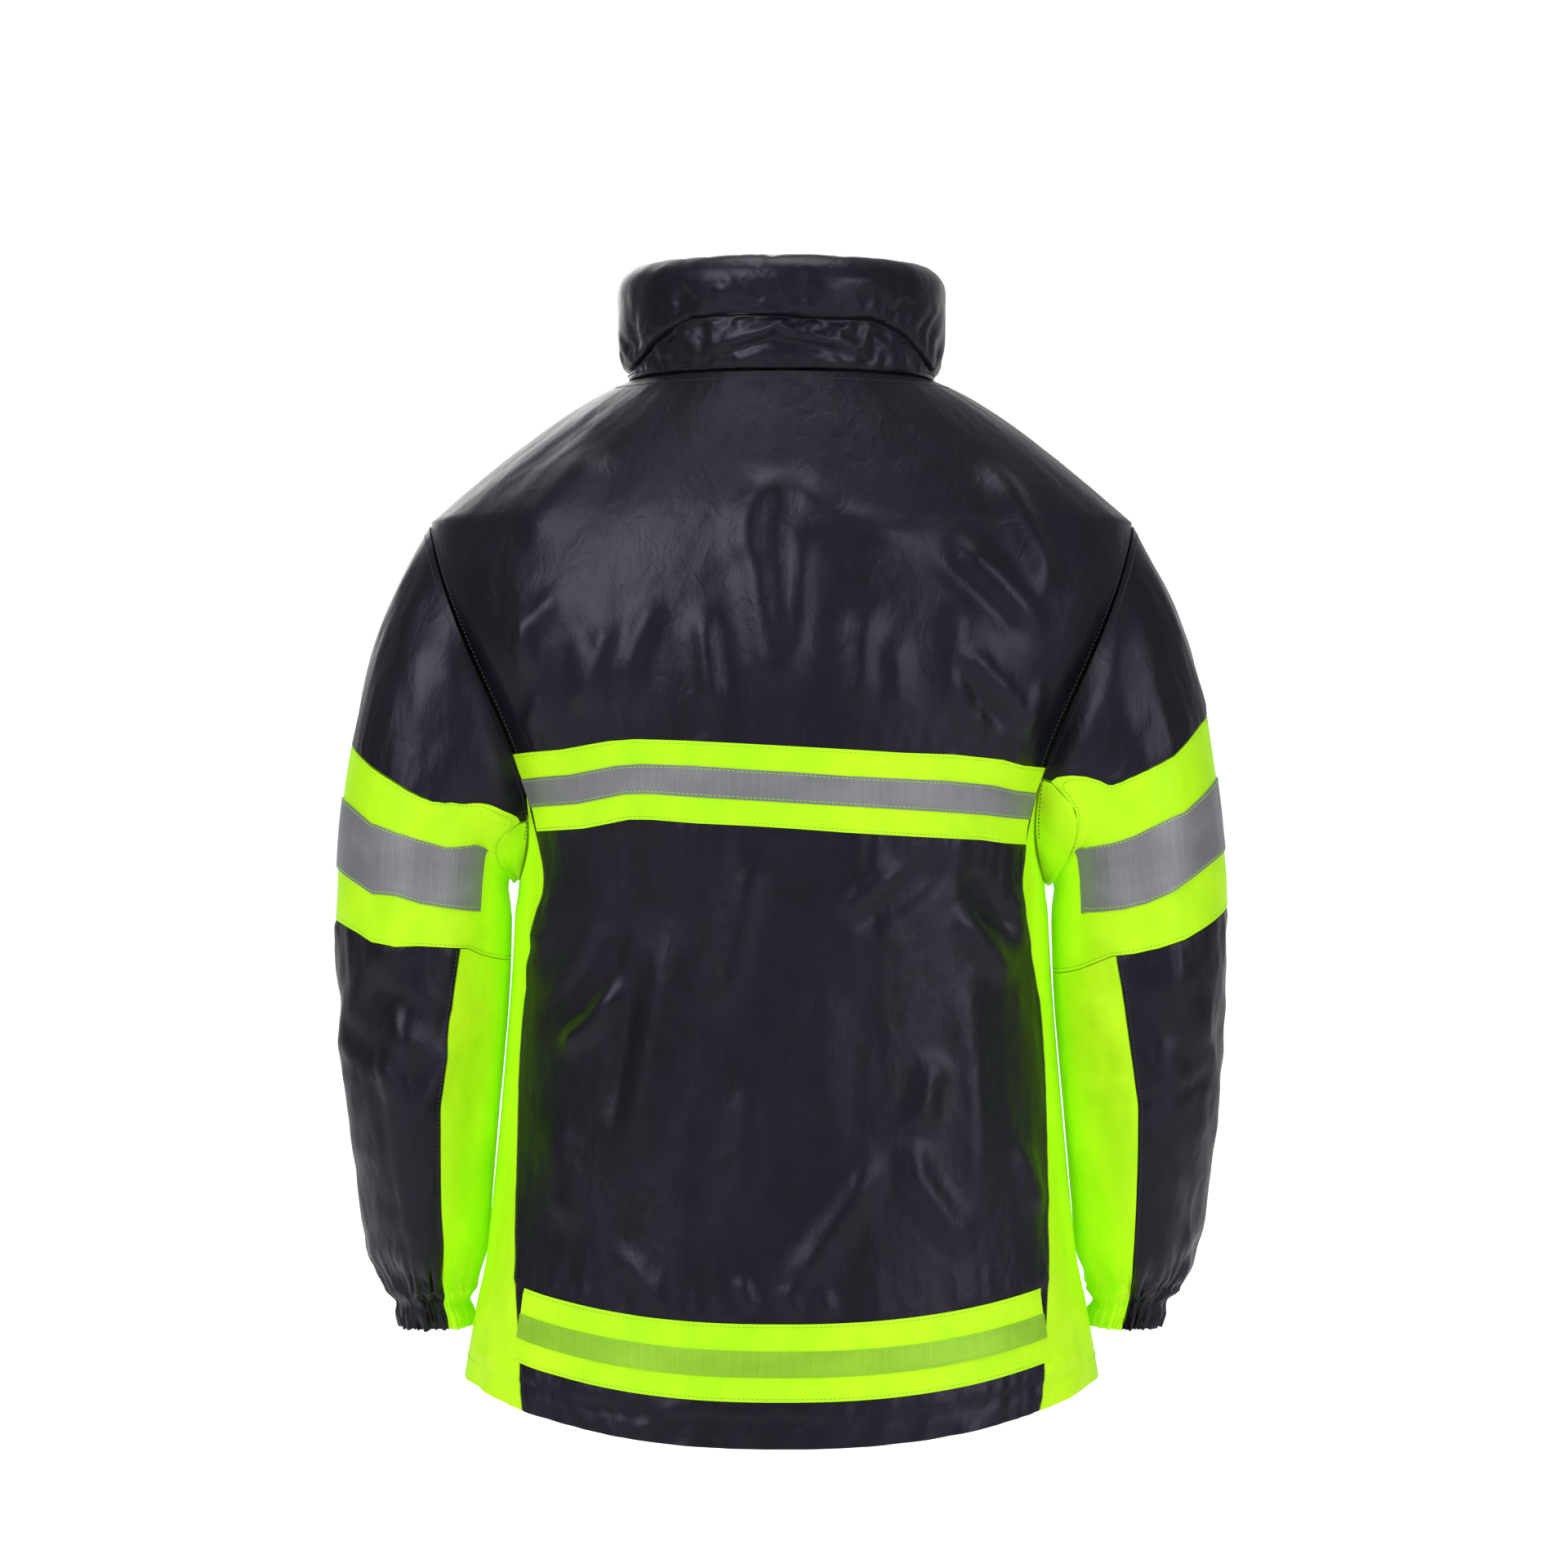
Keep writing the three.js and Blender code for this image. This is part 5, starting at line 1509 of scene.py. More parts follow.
BAND_LINES = {
    Side.LEFT: (
        ((0, 2.13), (49, 2.11), (60.5, 2.08), (70.5, 2.04), (79.5, 2.0), (87.5, 1.94), (95.5, 1.85), (103, 1.67),
         (109, 1.32), (114, 0.93), (117.5, 0.66), (120, 0.5), (125, 0.3), (127.5, 0.17), (131, 0.12), (137, 0.7),
         (150, 1.3), (180, 1.5)),
        ((0, 2.45), (55.5, 2.43), (74.5, 2.36), (91, 2.27), (107.5, 2.16), (115.5, 2.06), (124, 1.91), (132.5, 1.61),
         (140, 1.2), (180, 1.0)),
        ((0, 2.84), (60.5, 2.82), (78, 2.73), (94.5, 2.67), (118.5, 2.54), (138.5, 2.43), (180, 2.35)),
        ((0, 3.12), (61.5, 3.1), (79.5, 3.04), (95.5, 2.94), (111.5, 2.85), (129.5, 2.75), (180, 2.68)),
    ),
    Side.RIGHT: (
        ((0, 1.92), (52.5, 1.9), (63.5, 1.88), (73, 1.81), (81.5, 1.72), (89, 1.6), (96.5, 1.41), (102.5, 1.16),
         (106, 0.8), (109, 0.45), (112, 0.2), (115, 0.12), (121, 0.6), (135, 1.1), (150, 1.3), (180, 1.5)),
        ((0, 2.33), (60, 2.33), (79, 2.26), (95.5, 2.19), (103.5, 2.14), (112, 2.07), (120.5, 1.97), (129.5, 1.81),
         (138, 1.3), (180, 1.0)),
        ((0, 2.74), (74, 2.73), (91, 2.69), (107, 2.62), (124, 2.52), (134, 2.46), (180, 2.38)),
        ((0, 3.06), (67, 3.06), (84.5, 3.02), (100.5, 2.96), (116.5, 2.88), (180, 2.78)),
    ),
}


@dataclass
class Sleeve:
    """One sleeve: its head, gusset, striped band, forearm and gathered cuff."""

    side: Side
    form: SleeveForm
    shell: float = 2.0
    under_from: float = 130
    under_front: float = 118
    start: float = 0.03
    around: float = 72.0

    @property
    def gusset(self) -> float:
        """The underarm gusset's seams, in degrees."""
        return 131.0 if self.side is Side.LEFT else 115.0

    def under_back(self, s: Array) -> Array:
        """The back seam of the underarm strip, in degrees."""
        above, below = (123.0, 112.0) if self.side is Side.LEFT else (113.0, 99.0)
        return np.where(s < 2, self.gusset, lerp(above, below, np.clip(s - 3, 0, 1)))

    def under_fore(self, s: Array) -> Array:
        """The front seam of the underarm strip, in degrees."""
        return np.where(s < 2, self.gusset, lerp(self.under_from, self.under_front, np.clip(s - 3, 0, 1)))

    def station(self, phi: Array, s: Array) -> Array:
        """Where a point lies on the form: the striped band runs up towards the armpit on the sleeve's inner side.

        Args:
            phi: Angle round the sleeve, in radians.
            s: Station down the sleeve.

        Returns:
            The station on the form.
        """
        degrees = np.abs(np.degrees((phi + math.pi) % (2 * math.pi) - math.pi))
        marks = (self.start, 2.0, self.form.tape_from, self.form.tape_to, 3.0, 4.6)
        lines = [np.interp(degrees, *zip(*line)) for line in BAND_LINES[self.side]]
        lines = [np.full(degrees.shape, self.start), *lines, np.full(degrees.shape, 4.6)]
        out = s.copy()
        for low, high, a, b in zip(marks[:-1], marks[1:], lines[:-1], lines[1:]):
            out = np.where((s >= low) & (s <= high), lerp(a, b, (s - low) / (high - low)), out)
        return out

    def height(self, phi: Array, mark: Array) -> Array:
        """How far the sleeve's cloth stands off its form, in millimetres.

        Args:
            phi: Angle round the sleeve, in radians.
            mark: Station on the flat cut.

        Returns:
            Stand-off, in mm.
        """
        seed = 40 if self.side is Side.LEFT else 60
        s = self.station(phi, mark)
        phi = (phi + math.pi) % (2 * math.pi) - math.pi
        run = np.interp(s, np.arange(9), self.form.length)
        a = self.around * phi
        long = ruffle(a / 30 + 0.5 * ruffle(a / 70, run / 120, seed + 5), run / 170, seed)
        slant = ruffle((a + 0.75 * run) / 30, (run - 0.5 * a) / 95, seed + 1)
        cross = ruffle(a / 62, run / 17 + 0.6 * ruffle(a / 40, run / 45, seed + 2), seed + 3)
        small = ruffle(a / 13, run / 26, seed + 4)
        crisp = ruffle(a / 6, run / 8, seed + 6)
        elbow = np.exp(-(((run - 225) / 55) ** 2))
        wrist = ease((run - 335) / 75)
        h = 2.4 * long + 2.2 * slant * (0.55 + elbow) + 1.9 * cross * (0.15 + elbow + wrist) + 0.8 * small + 0.2 * crisp
        band = ease((mark - 1.97) / 0.05) * ease((3.03 - mark) / 0.05)
        h = h * (1 - 0.6 * band)
        pull = np.abs(ruffle(a / 7, run / 60, seed + 7)) + 0.4 * ruffle(a / 16, run / 70, seed + 8)
        for edge, sign in ((2.0, -1), (3.0, 1)):
            line = np.interp(self.station(phi, np.full(phi.shape, edge)), np.arange(9), self.form.length)
            off = (run - line) * sign
            h = h + np.where(off > 0, 1.7 * pull * ease(off / 4) * np.exp(-off / 18), 0)
        gather = np.abs(ruffle(a / 8, run / 45, seed + 9)) * 2 - 0.5
        h = h + 2.4 * gather * ease((run - 385) / 40) + 2.0 * wrist
        h = np.clip(h, -4, 9) * ease(run / 18)
        inner = ease((np.abs(phi) - 2.45) / 0.4) * ease((run - 96) / 24) * ease((430 - run) / 30)
        return lerp(h, 3.0 + 0.2 * small, inner)

    def dip(self, s: Array, phi: Array) -> Array:
        """How far the cloth beside the armhole seam is pulled in along y, in millimetres.

        Args:
            s: Station down the sleeve.
            phi: Angle round the sleeve, in radians.

        Returns:
            Shift along y, in mm.
        """
        run = np.interp(s, np.arange(9), self.form.length)
        low = ease((-np.cos(phi) + 0.8) / 0.9) * ease((np.cos(phi) + 1.0) / 0.25)
        return 9.0 * low * np.exp(-((run / 10.0) ** 2)) * np.sign(np.sin(phi))

    def place(self, phi: Array, s: Array, level: float | Array) -> Array:
        """Points of the sleeve's cloth, in metres.

        Args:
            phi: Angle round the sleeve, in radians.
            s: Station down the sleeve.
            level: Distance out from the cloth's outer face, in mm.

        Returns:
            The points.
        """
        phi, mark = np.broadcast_arrays(np.asarray(phi, float), np.asarray(s, float))
        s = self.station(phi, mark)
        p = self.form.point(phi, s) + self.form.normal(phi, s) * (level + self.height(phi, mark))[..., None]
        p[..., 1] -= self.dip(s, phi)
        p[..., 0] *= self.side.value
        return p * MM

    def steps(self, s0: float, s1: float) -> Array:
        """Stations from s0 to s1, about 4 mm apart.

        Args:
            s0: The first station.
            s1: The last station.

        Returns:
            The stations.
        """
        run = np.interp([s0, s1], np.arange(9), self.form.length)
        lengths = np.linspace(run[0], run[1], max(3, int((run[1] - run[0]) / 3.6)))
        return np.interp(lengths, self.form.length, np.arange(9))

    def panel(
        self, name: str, edges: tuple[Callable[[Array], Array], Callable[[Array], Array]], span: tuple[float, float],
        columns: int, level: float, thick: float, finish: Any, nodes: Sequence[str],
    ) -> bpy.types.Object:
        """Makes part of the sleeve between two seams.

        Args:
            name: The piece's name, without the side.
            edges: The seams' angles in degrees, as functions of the station.
            span: The stations that it runs from and to.
            columns: How many points it has round the sleeve.
            level: Distance out from the cloth's outer face, in mm.
            thick: Its thickness, in mm.
            finish: Its finish.
            nodes: The CAD nodes that it stands for, without the side.

        Returns:
            The piece.
        """
        s = self.steps(*span)
        phi = np.radians(lerp(edges[0](s)[:, None], edges[1](s)[:, None], np.linspace(0, 1, columns)[None]))
        s = np.broadcast_to(s[:, None], phi.shape)
        outer, inner = self.place(phi, s, level), self.place(phi, s, level - thick)
        obj = WARDROBE.put(Net().sheet(outer, inner).make(f"{self.side.word}_{name}"), finish)
        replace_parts(obj, *(f"{self.side.word}_{node}" for node in nodes))
        flat = self.form.point(phi, self.station(phi, s)) * MM
        across = float(np.linalg.norm(np.diff(flat, axis=1), axis=-1).sum(1).max())
        along = float(np.linalg.norm(np.diff(flat, axis=0), axis=-1).sum(0).max())
        a, b = flat[:-1, 1:] - flat[:-1, :-1], flat[1:, :-1] - flat[:-1, :-1]
        area = min(float(np.linalg.norm(np.cross(a, b), axis=-1).sum()), across * along)
        return obj

    def bend(self, obj: bpy.types.Object, upper: bool) -> bpy.types.Object:
        """Bakes the piece's transform into its mesh, the same above the elbow as below it; it does not follow the
        shoulder or the elbow.

        Args:
            obj: The piece.
            upper: True above the elbow.

        Returns:
            The same piece.
        """
        if upper:
            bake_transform(obj)
        else:
            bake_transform(obj)
        return obj

    def sew(self, name: str, rows: Sequence[tuple[Array, Array, float]], finish: Any, upper: bool) -> bpy.types.Object:
        """Makes rows of stitches. Each row is its angles in degrees, its stations and its level.

        Args:
            name: Its name, without the side.
            rows: Each row's angles in degrees, stations and level.
            finish: Its finish.
            upper: True above the elbow.

        Returns:
            The piece.
        """
        net = Net()
        for degrees, s, level in rows:
            phi = np.radians(degrees)
            path = self.place(phi, s, level)
            stitches(net, path, self.place(phi, s, level + 1) - path)
        return self.bend(WARDROBE.put(net.make(f"{self.side.word}_{name}"), finish), upper)

    def build(self) -> None:
        """Makes every piece of the sleeve."""
        back, fore = self.under_back, self.under_fore
        head = self.panel(
            "sleeve_head_cloth", (lambda s: -fore(s) + 0.4, lambda s: back(s) - 0.4), (self.start, 1.985), 121, 0,
            self.shell, Wardrobe.NAVY, ["sleeve_head"],
        )
        gusset = self.panel(
            "underarm_gusset_cloth", (lambda s: back(s) + 0.4, lambda s: 360 - fore(s) - 0.4), (self.start, 1.985), 31,
            0, self.shell, Wardrobe.LIME, ["underarm_gusset"],
        )
        band = self.panel(
            "sleeve_band_cloth", (lambda s: 0 * s - 180, lambda s: 0 * s + 180), (2.0, 2.998), 161, 0, self.shell,
            Wardrobe.LIME, ["sleeve_band"],
        )
        tape = self.panel(
            "sleeve_tape_strip", (lambda s: 0 * s - 137, lambda s: 0 * s + 137),
            (self.form.tape_from, self.form.tape_to), 141, 1.2, 0.8, Wardrobe.SILVER, ["sleeve_tape"],
        )
        for obj in (head, gusset, band, tape):
            self.bend(obj, True)
        lower = self.panel(
            "lower_sleeve_cloth", (lambda s: -fore(s) + 0.4, lambda s: back(s) - 0.4), (3.004, 7.0), 111, 0, self.shell,
            Wardrobe.NAVY, ["elbow_panel", "forearm_panel"],
        )
        strip = self.panel(
            "underarm_strip_cloth", (lambda s: back(s) + 0.4, lambda s: 360 - fore(s) - 0.4), (3.004, 7.0), 41, 0,
            self.shell, Wardrobe.LIME, ["elbow_underarm", "forearm_underarm"],
        )
        for obj in (lower, strip):
            self.bend(obj, False)
        self.build_cuff()
        ring = np.linspace(-135, 135, 170)
        whole = np.linspace(-178, 178, 200)
        full = lambda s, degrees: np.full(degrees.shape, s)
        self.sew(
            "band_stitching",
            [
                (ring, full(self.form.tape_from + 0.014, ring), 1.3),
                (ring, full(self.form.tape_to - 0.014, ring), 1.3),
                (whole, full(2.022, whole), 0.1),
                (whole, full(2.978, whole), 0.1),
            ],
            Wardrobe.LIME_THREAD, True,
        )
        s = self.steps(3.01, 6.95)
        self.sew("forearm_stitching", [(back(s) - 2.6, s, 0.1), (-fore(s) + 2.6, s, 0.1)], Wardrobe.NAVY_THREAD, False)
        arm = np.linspace(-140, 140, 200)
        self.sew("armhole_stitching", [(arm, full(0.11, arm), 0.1)], Wardrobe.NAVY_THREAD, True)

    def build_cuff(self) -> None:
        """Makes the cuff: cloth gathered on elastic, with a short frill below the elastic's channel."""
        seed = 90 if self.side is Side.LEFT else 95
        s = np.linspace(7.0, 8.0, 22)
        back = 112.0 if self.side is Side.LEFT else 99.0
        net = Net()
        for band, low, high, columns in ((0, -self.under_front, back, 150), (1, back, 360 - self.under_front, 90)):
            phi = np.radians(np.linspace(low, high, columns))[None] * np.ones((len(s), 1))
            at = np.broadcast_to(s[:, None], phi.shape)
            turn = (phi + math.pi) % (2 * math.pi) - math.pi
            a = 36 * turn
            wave = np.abs(ruffle(a / 3.6, at * 1.3, seed)) * 2 - 0.6
            share = at - 7
            channel = np.exp(-(((share - 0.45) / 0.16) ** 2))
            rise = self.height(phi, np.full(at.shape, 7.0)) * ease(1 - share / 0.4)
            frill = (1.8 + 1.2 * share) * wave * ease(share / 0.1) * (1 - 0.35 * channel)
            h = rise + frill + 1.5 * share - 2.2 * channel
            base, n = self.form.point(phi, at), self.form.normal(phi, np.minimum(at, 7.9))
            outer, inner = base + n * h[..., None], base + n * (h - 1.6)[..., None]
            for face in (outer, inner):
                face[..., 0] *= self.side.value
            net.sheet(outer * MM, inner * MM, bands=[band] * (len(s) - 1))
        obj = WARDROBE.put(net.make(f"{self.side.word}_cuff_gathered"), Wardrobe.NAVY, Wardrobe.LIME)
        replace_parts(obj, f"{self.side.word}_cuff")
        self.bend(obj, False)


@dataclass
class Collar:
    """The stand collar with the hood rolled up in it, its facing, hanging loop and label."""

    drape: Drape
    radius: float = 113
    thick: float = 26
    height: float = 84
    wall: float = 71
    cap_end: float = 1.7
    facing: float = 2.6
    zip_end: float = 96
    roll: float = 5.0
    folds: tuple[Fold, ...] = folds(
        (-3.4, 3.6, 55, 10, 5, 21, -63, 10), (2.4, 5, 60, 16, 5, 28, -68, 15), (2.2, 4, 35, 30, 20, 38),
        (2.6, 4, 10, 26, -4, 37), (2.2, 4, -12, 26, -30, 36), (2.2, 4, -34, 24, -52, 36), (2.4, 7, 45, 52, 30, 66),
        (2.4, 7, -15, 50, -45, 64, -70, 60), (-1.8, 5, 75, 48, 60, 58), (-1.6, 5, 12, 47, 20, 62),
        (2.0, 5, 80, 30, 50, 43),
    )

    def section(self, v: Array) -> tuple[Array, Array, Array, Array]:
        """Inset, height and outward direction along the collar's section: up the outside, over and down the inside.

        Args:
            v: Place along the section: to 1 up the outside, to 2 over the top, to 3 down the inside.

        Returns:
            Inset, height, and the two parts of the outward direction.
        """
        cap = self.thick / 2
        a = math.pi * (np.clip(v, 1, 2) - 1)
        inset = cap * (1 - np.cos(a))
        over = np.where(v < 2, self.wall + cap * np.sin(a), lerp(self.wall, 1.0, v - 2))
        up = np.where(v < 1, lerp(1.0, self.wall, v), over)
        return inset, up, np.cos(a), np.sin(a)

    def fold_line(self, t: Array) -> Array:
        """Height of the roll's lower edge round the collar."""
        d = np.abs(np.degrees((t + math.pi) % (2 * math.pi) - math.pi))
        return 39.5 - 31 * ease((d - 30) / 48) + 1.5 * np.sin(t * 5)

    def place(self, t: Array, v: Array, level: float | Array, share: float = 1.0) -> Array:
        """Points of the collar, in metres.

        Args:
            t: Angle round the body, in radians.
            v: Place along the section: to 1 up the outside, to 2 over the top, to 3 down the inside.
            level: Distance out from the cloth's outer face, in mm.
            share: How much of the folds it follows.

        Returns:
            The points.
        """
        form = self.drape.torso
        inset, z, out_x, out_z = self.section(v)
        x = self.radius * np.sin(t)
        outside = ease((1.35 - v) / 0.35)
        line = self.fold_line(t)
        degrees = np.abs(np.degrees(t))
        near = ease((self.zip_end + 3 - degrees) / 5)
        over = ease((z - line) / 2.4) * near * ease((self.wall + 16 - z) / 24)
        lift = self.roll * over
        around = self.radius * t
        wave = 1.1 * ruffle(around / 26, z / 30, 31) + 0.5 * ruffle(around / 9, z / 14, 32)
        for fold in self.folds:
            wave = wave + fold.lift(x, z) * (np.cos(t) > 0)
        wave = wave * ease(z / 8)
        h = level + share * outside * (lift + wave * np.where(z > line, 0.8, 1.0))
        r = self.radius - inset + h * out_x
        droop = share * outside * 3.0 * np.exp(-(((z - line - 1.5) / 2.6) ** 2)) * near
        return np.stack([r * np.sin(t), form.centre_y(z) + r * np.cos(t), z + h * out_z - droop], -1) * MM

    def build(self) -> None:
        """Makes every piece of the collar."""
        form = self.drape.torso
        end = float(form.front_t(np.array(15.0), np.array(1.0)))
        t = np.linspace(-end, end, 185)
        v = np.concatenate([np.linspace(0, 1, 30), np.linspace(1, self.cap_end, 9)[1:]])
        grid_t, grid_v = np.broadcast_arrays(t[:, None], v[None])
        outside = self.place(grid_t, grid_v, 0.0)
        down = np.linspace(self.cap_end + 0.02, 3.0, 24)
        down_t, down_v = np.broadcast_arrays(t[:, None], down[None])
        inside = self.place(down_t, down_v, -self.facing, 0.0)
        floor_t = np.broadcast_to(t[:, None], (len(t), 4))
        r = lerp(self.radius - self.thick + self.facing, self.radius, np.linspace(0, 1, 6)[1:-1])[None]
        floor_y = form.neck_y + 0.05 + r * np.cos(floor_t)
        floor = np.stack([r * np.sin(floor_t), floor_y, 0 * r + 1.0 + 0 * floor_t], -1) * MM
        rings = np.concatenate([outside, inside, floor], 1)
        body = Net().loft(rings).make("rolled_hood_collar", 60)
        free = np.zeros(rings.shape[:2], bool)
        height = rings[..., 2] / MM
        line = self.fold_line(t)[:, None]
        free[:, : len(v)] = (height[:, : len(v)] > 5) & (np.abs(height[:, : len(v)] - line) > 4)
        free[:3] = free[-3:] = False
        inflate(body, free.ravel(), 3.6)
        body.modifiers.new("smooth", "SUBSURF").levels = 1
        body.modifiers["smooth"].render_levels = 1
        bake(body)
        WARDROBE.put(body, Wardrobe.NAVY_PLACE)
        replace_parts(body, "collar_shell", "rolled_hood")
        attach(body, "coat_body")

        v = np.linspace(self.cap_end + 0.012, 3.0, 26)
        t = np.linspace(-end, end, 141)
        outer = self.place(t[:, None] + 0 * v[None], v[None] + 0 * t[:, None], 0.1, 0.0)
        inner = self.place(t[:, None] + 0 * v[None], v[None] + 0 * t[:, None], -2.0, 0.0)
        facing = WARDROBE.put(Net().sheet(outer, inner).make("collar_facing_quilt"), Wardrobe.LINING)
        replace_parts(facing, "collar_facing")
        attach(facing, "coat_body")

        sewn = Net()
        t = np.linspace(-end + 0.03, end - 0.03, 300)
        for v in (1.62, 0.055):
            at = np.full(t.shape, v)
            path = self.place(t, at, 0.4)
            stitches(sewn, path, self.place(t, at, 1.4) - path)
        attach(WARDROBE.put(sewn.make("collar_stitching"), Wardrobe.NAVY_THREAD), "coat_body")
        self.build_loop()
        self.build_label()

    def build_loop(self) -> None:
        """Makes the hanging loop: a folded strap sewn across the back neck."""
        half, sagitta, strap = 30.0, 11.0, 1.8
        r = (half**2 + sagitta**2) / (2 * sagitta)
        a = np.linspace(-math.asin(half / r), math.asin(half / r), 41)[None]
        z = np.linspace(8, 16, 7)[:, None]
        foot = self.drape.torso.centre_y(np.array(8.0)) + math.sqrt((self.radius - self.thick) ** 2 - half**2) - 0.3
        puff = 0.3 * np.cos((z - 12) / 4 * math.pi / 2)
        faces = [
            np.stack([k * np.sin(a) + 0 * z, foot + r - sagitta - k * np.cos(a), z + 0 * a], -1) * MM
            for k in (r - strap + 0.2 - puff, r - 0.2 + puff)
        ]
        obj = WARDROBE.put(Net().sheet(faces[1], faces[0]).make("hanging_loop_strap"), Wardrobe.NAVY)
        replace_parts(obj, "hanging_loop")
        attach(obj, "coat_body")

    def build_label(self) -> None:
        """Makes the plain woven label in the back neck."""
        z = np.linspace(-68, -30, 15)[:, None]
        edge = self.drape.torso.back_t(np.full(z.shape, 26.0), z)
        t = lerp(-edge, edge, np.linspace(0, 1, 21)[None])
        z = np.broadcast_to(z, t.shape)
        outer, inner = self.drape.place(t, z, -10.6, 0.45), self.drape.place(t, z, -11.2, 0.45)
        obj = WARDROBE.put(Net().sheet(outer, inner).make("plain_neck_label"), Wardrobe.LABEL)
        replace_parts(obj, "size_label")
        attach(obj, "coat_body")


def inflate(obj: bpy.types.Object, free: Array, cap_mm: float, pressure: float = 4.0, slack: float = 0.05) -> None:
    """Lets the cloth of a stuffed piece swell and crease between its seams.

    Args:
        obj: The piece, a closed mesh.
        free: Which of its points may move.
        cap_mm: How far a point may move, in mm.
        pressure: The stuffing's pressure.
        slack: The cloth's spare length, as a share.
    """
    mesh = obj.data
    rest = np.zeros(len(mesh.vertices) * 3, np.float32)
    mesh.vertices.foreach_get("co", rest)
    rest = rest.reshape(-1, 3)
    group = obj.vertex_groups.new(name="sewn_down")
    group.add([int(i) for i in np.flatnonzero(~free)], 1.0, "REPLACE")
    cloth = obj.modifiers.new("cloth", "CLOTH")
    cloth.settings.vertex_group_mass = "sewn_down"
    cloth.settings.use_pressure = True
    cloth.settings.uniform_pressure_force = pressure
    cloth.settings.shrink_min = cloth.settings.shrink_max = -slack
    cloth.settings.effector_weights.gravity = 0
    cloth.settings.bending_stiffness = 0.1
    cloth.settings.mass = 0.2
    cloth.collision_settings.use_collision = False
    cloth.point_cache.frame_start, cloth.point_cache.frame_end = 1, 20
    scene = bpy.context.scene
    for number in range(1, 21):
        scene.frame_set(number)
    moved = np.zeros(len(mesh.vertices) * 3, np.float32)
    obj.evaluated_get(bpy.context.evaluated_depsgraph_get()).data.vertices.foreach_get("co", moved)
    step = moved.reshape(-1, 3) - rest
    far = np.linalg.norm(step, axis=1, keepdims=True)
    cap = cap_mm * MM
    step = step / np.maximum(far, 1e-9) * cap * np.tanh(far / cap)
    obj.modifiers.remove(cloth)
    mesh.vertices.foreach_set("co", (rest + np.where(free[:, None], step, 0)).astype(np.float32).ravel())
    mesh.update()
    obj.vertex_groups.clear()
    scene.frame_set(1)


def bake(obj: bpy.types.Object) -> None:
    """Applies the piece's modifiers to its mesh.

    Args:
        obj: The piece.
    """
    mesh = bpy.data.meshes.new_from_object(obj.evaluated_get(bpy.context.evaluated_depsgraph_get()))
    obj.modifiers.clear()
    obj.data = mesh


def turned(profile: Sequence[tuple[float, float]], count: int = 32) -> tuple[Array, list[tuple[int, ...]]]:
    """A small turned solid.

    Args:
        profile: (radius, height) points from the foot's middle to the top's middle, in millimetres.
        count: Points round it.

    Returns:
        Its points, in millimetres with its axis along z, and its faces.
    """
    a = np.arange(count) * 2 * math.pi / count
    rings = [np.stack([r * np.cos(a), r * np.sin(a), np.full(count, h)], -1) for r, h in profile[1:-1]]
    points = np.concatenate([[[0, 0, profile[0][1]]], *rings, [[0, 0, profile[-1][1]]]])
    last = len(points) - 1
    faces: list[tuple[int, ...]] = []
    for i in range(count):
        k = (i + 1) % count
        faces.append((0, 1 + k, 1 + i))
        for ring in range(len(rings) - 1):
            b = 1 + ring * count
            faces.append((b + i, b + k, b + count + k, b + count + i))
        b = 1 + (len(rings) - 1) * count
        faces.append((b + i, b + k, last))
    return points, faces


SNAP_CAP = (
    (0, 0), (7.1, 0), (7.5, 0.4), (7.5, 1.0), (7.0, 1.5), (6.1, 1.45), (5.7, 1.75), (4.4, 2.25), (2.2, 2.4), (0, 2.4)
)
SNAP_STUD = ((0, 0), (5, 0), (5, 0.9), (3.4, 1.3), (3.2, 3.4), (3.6, 4.0), (3.4, 4.8), (2.6, 5.0), (0, 5.0))


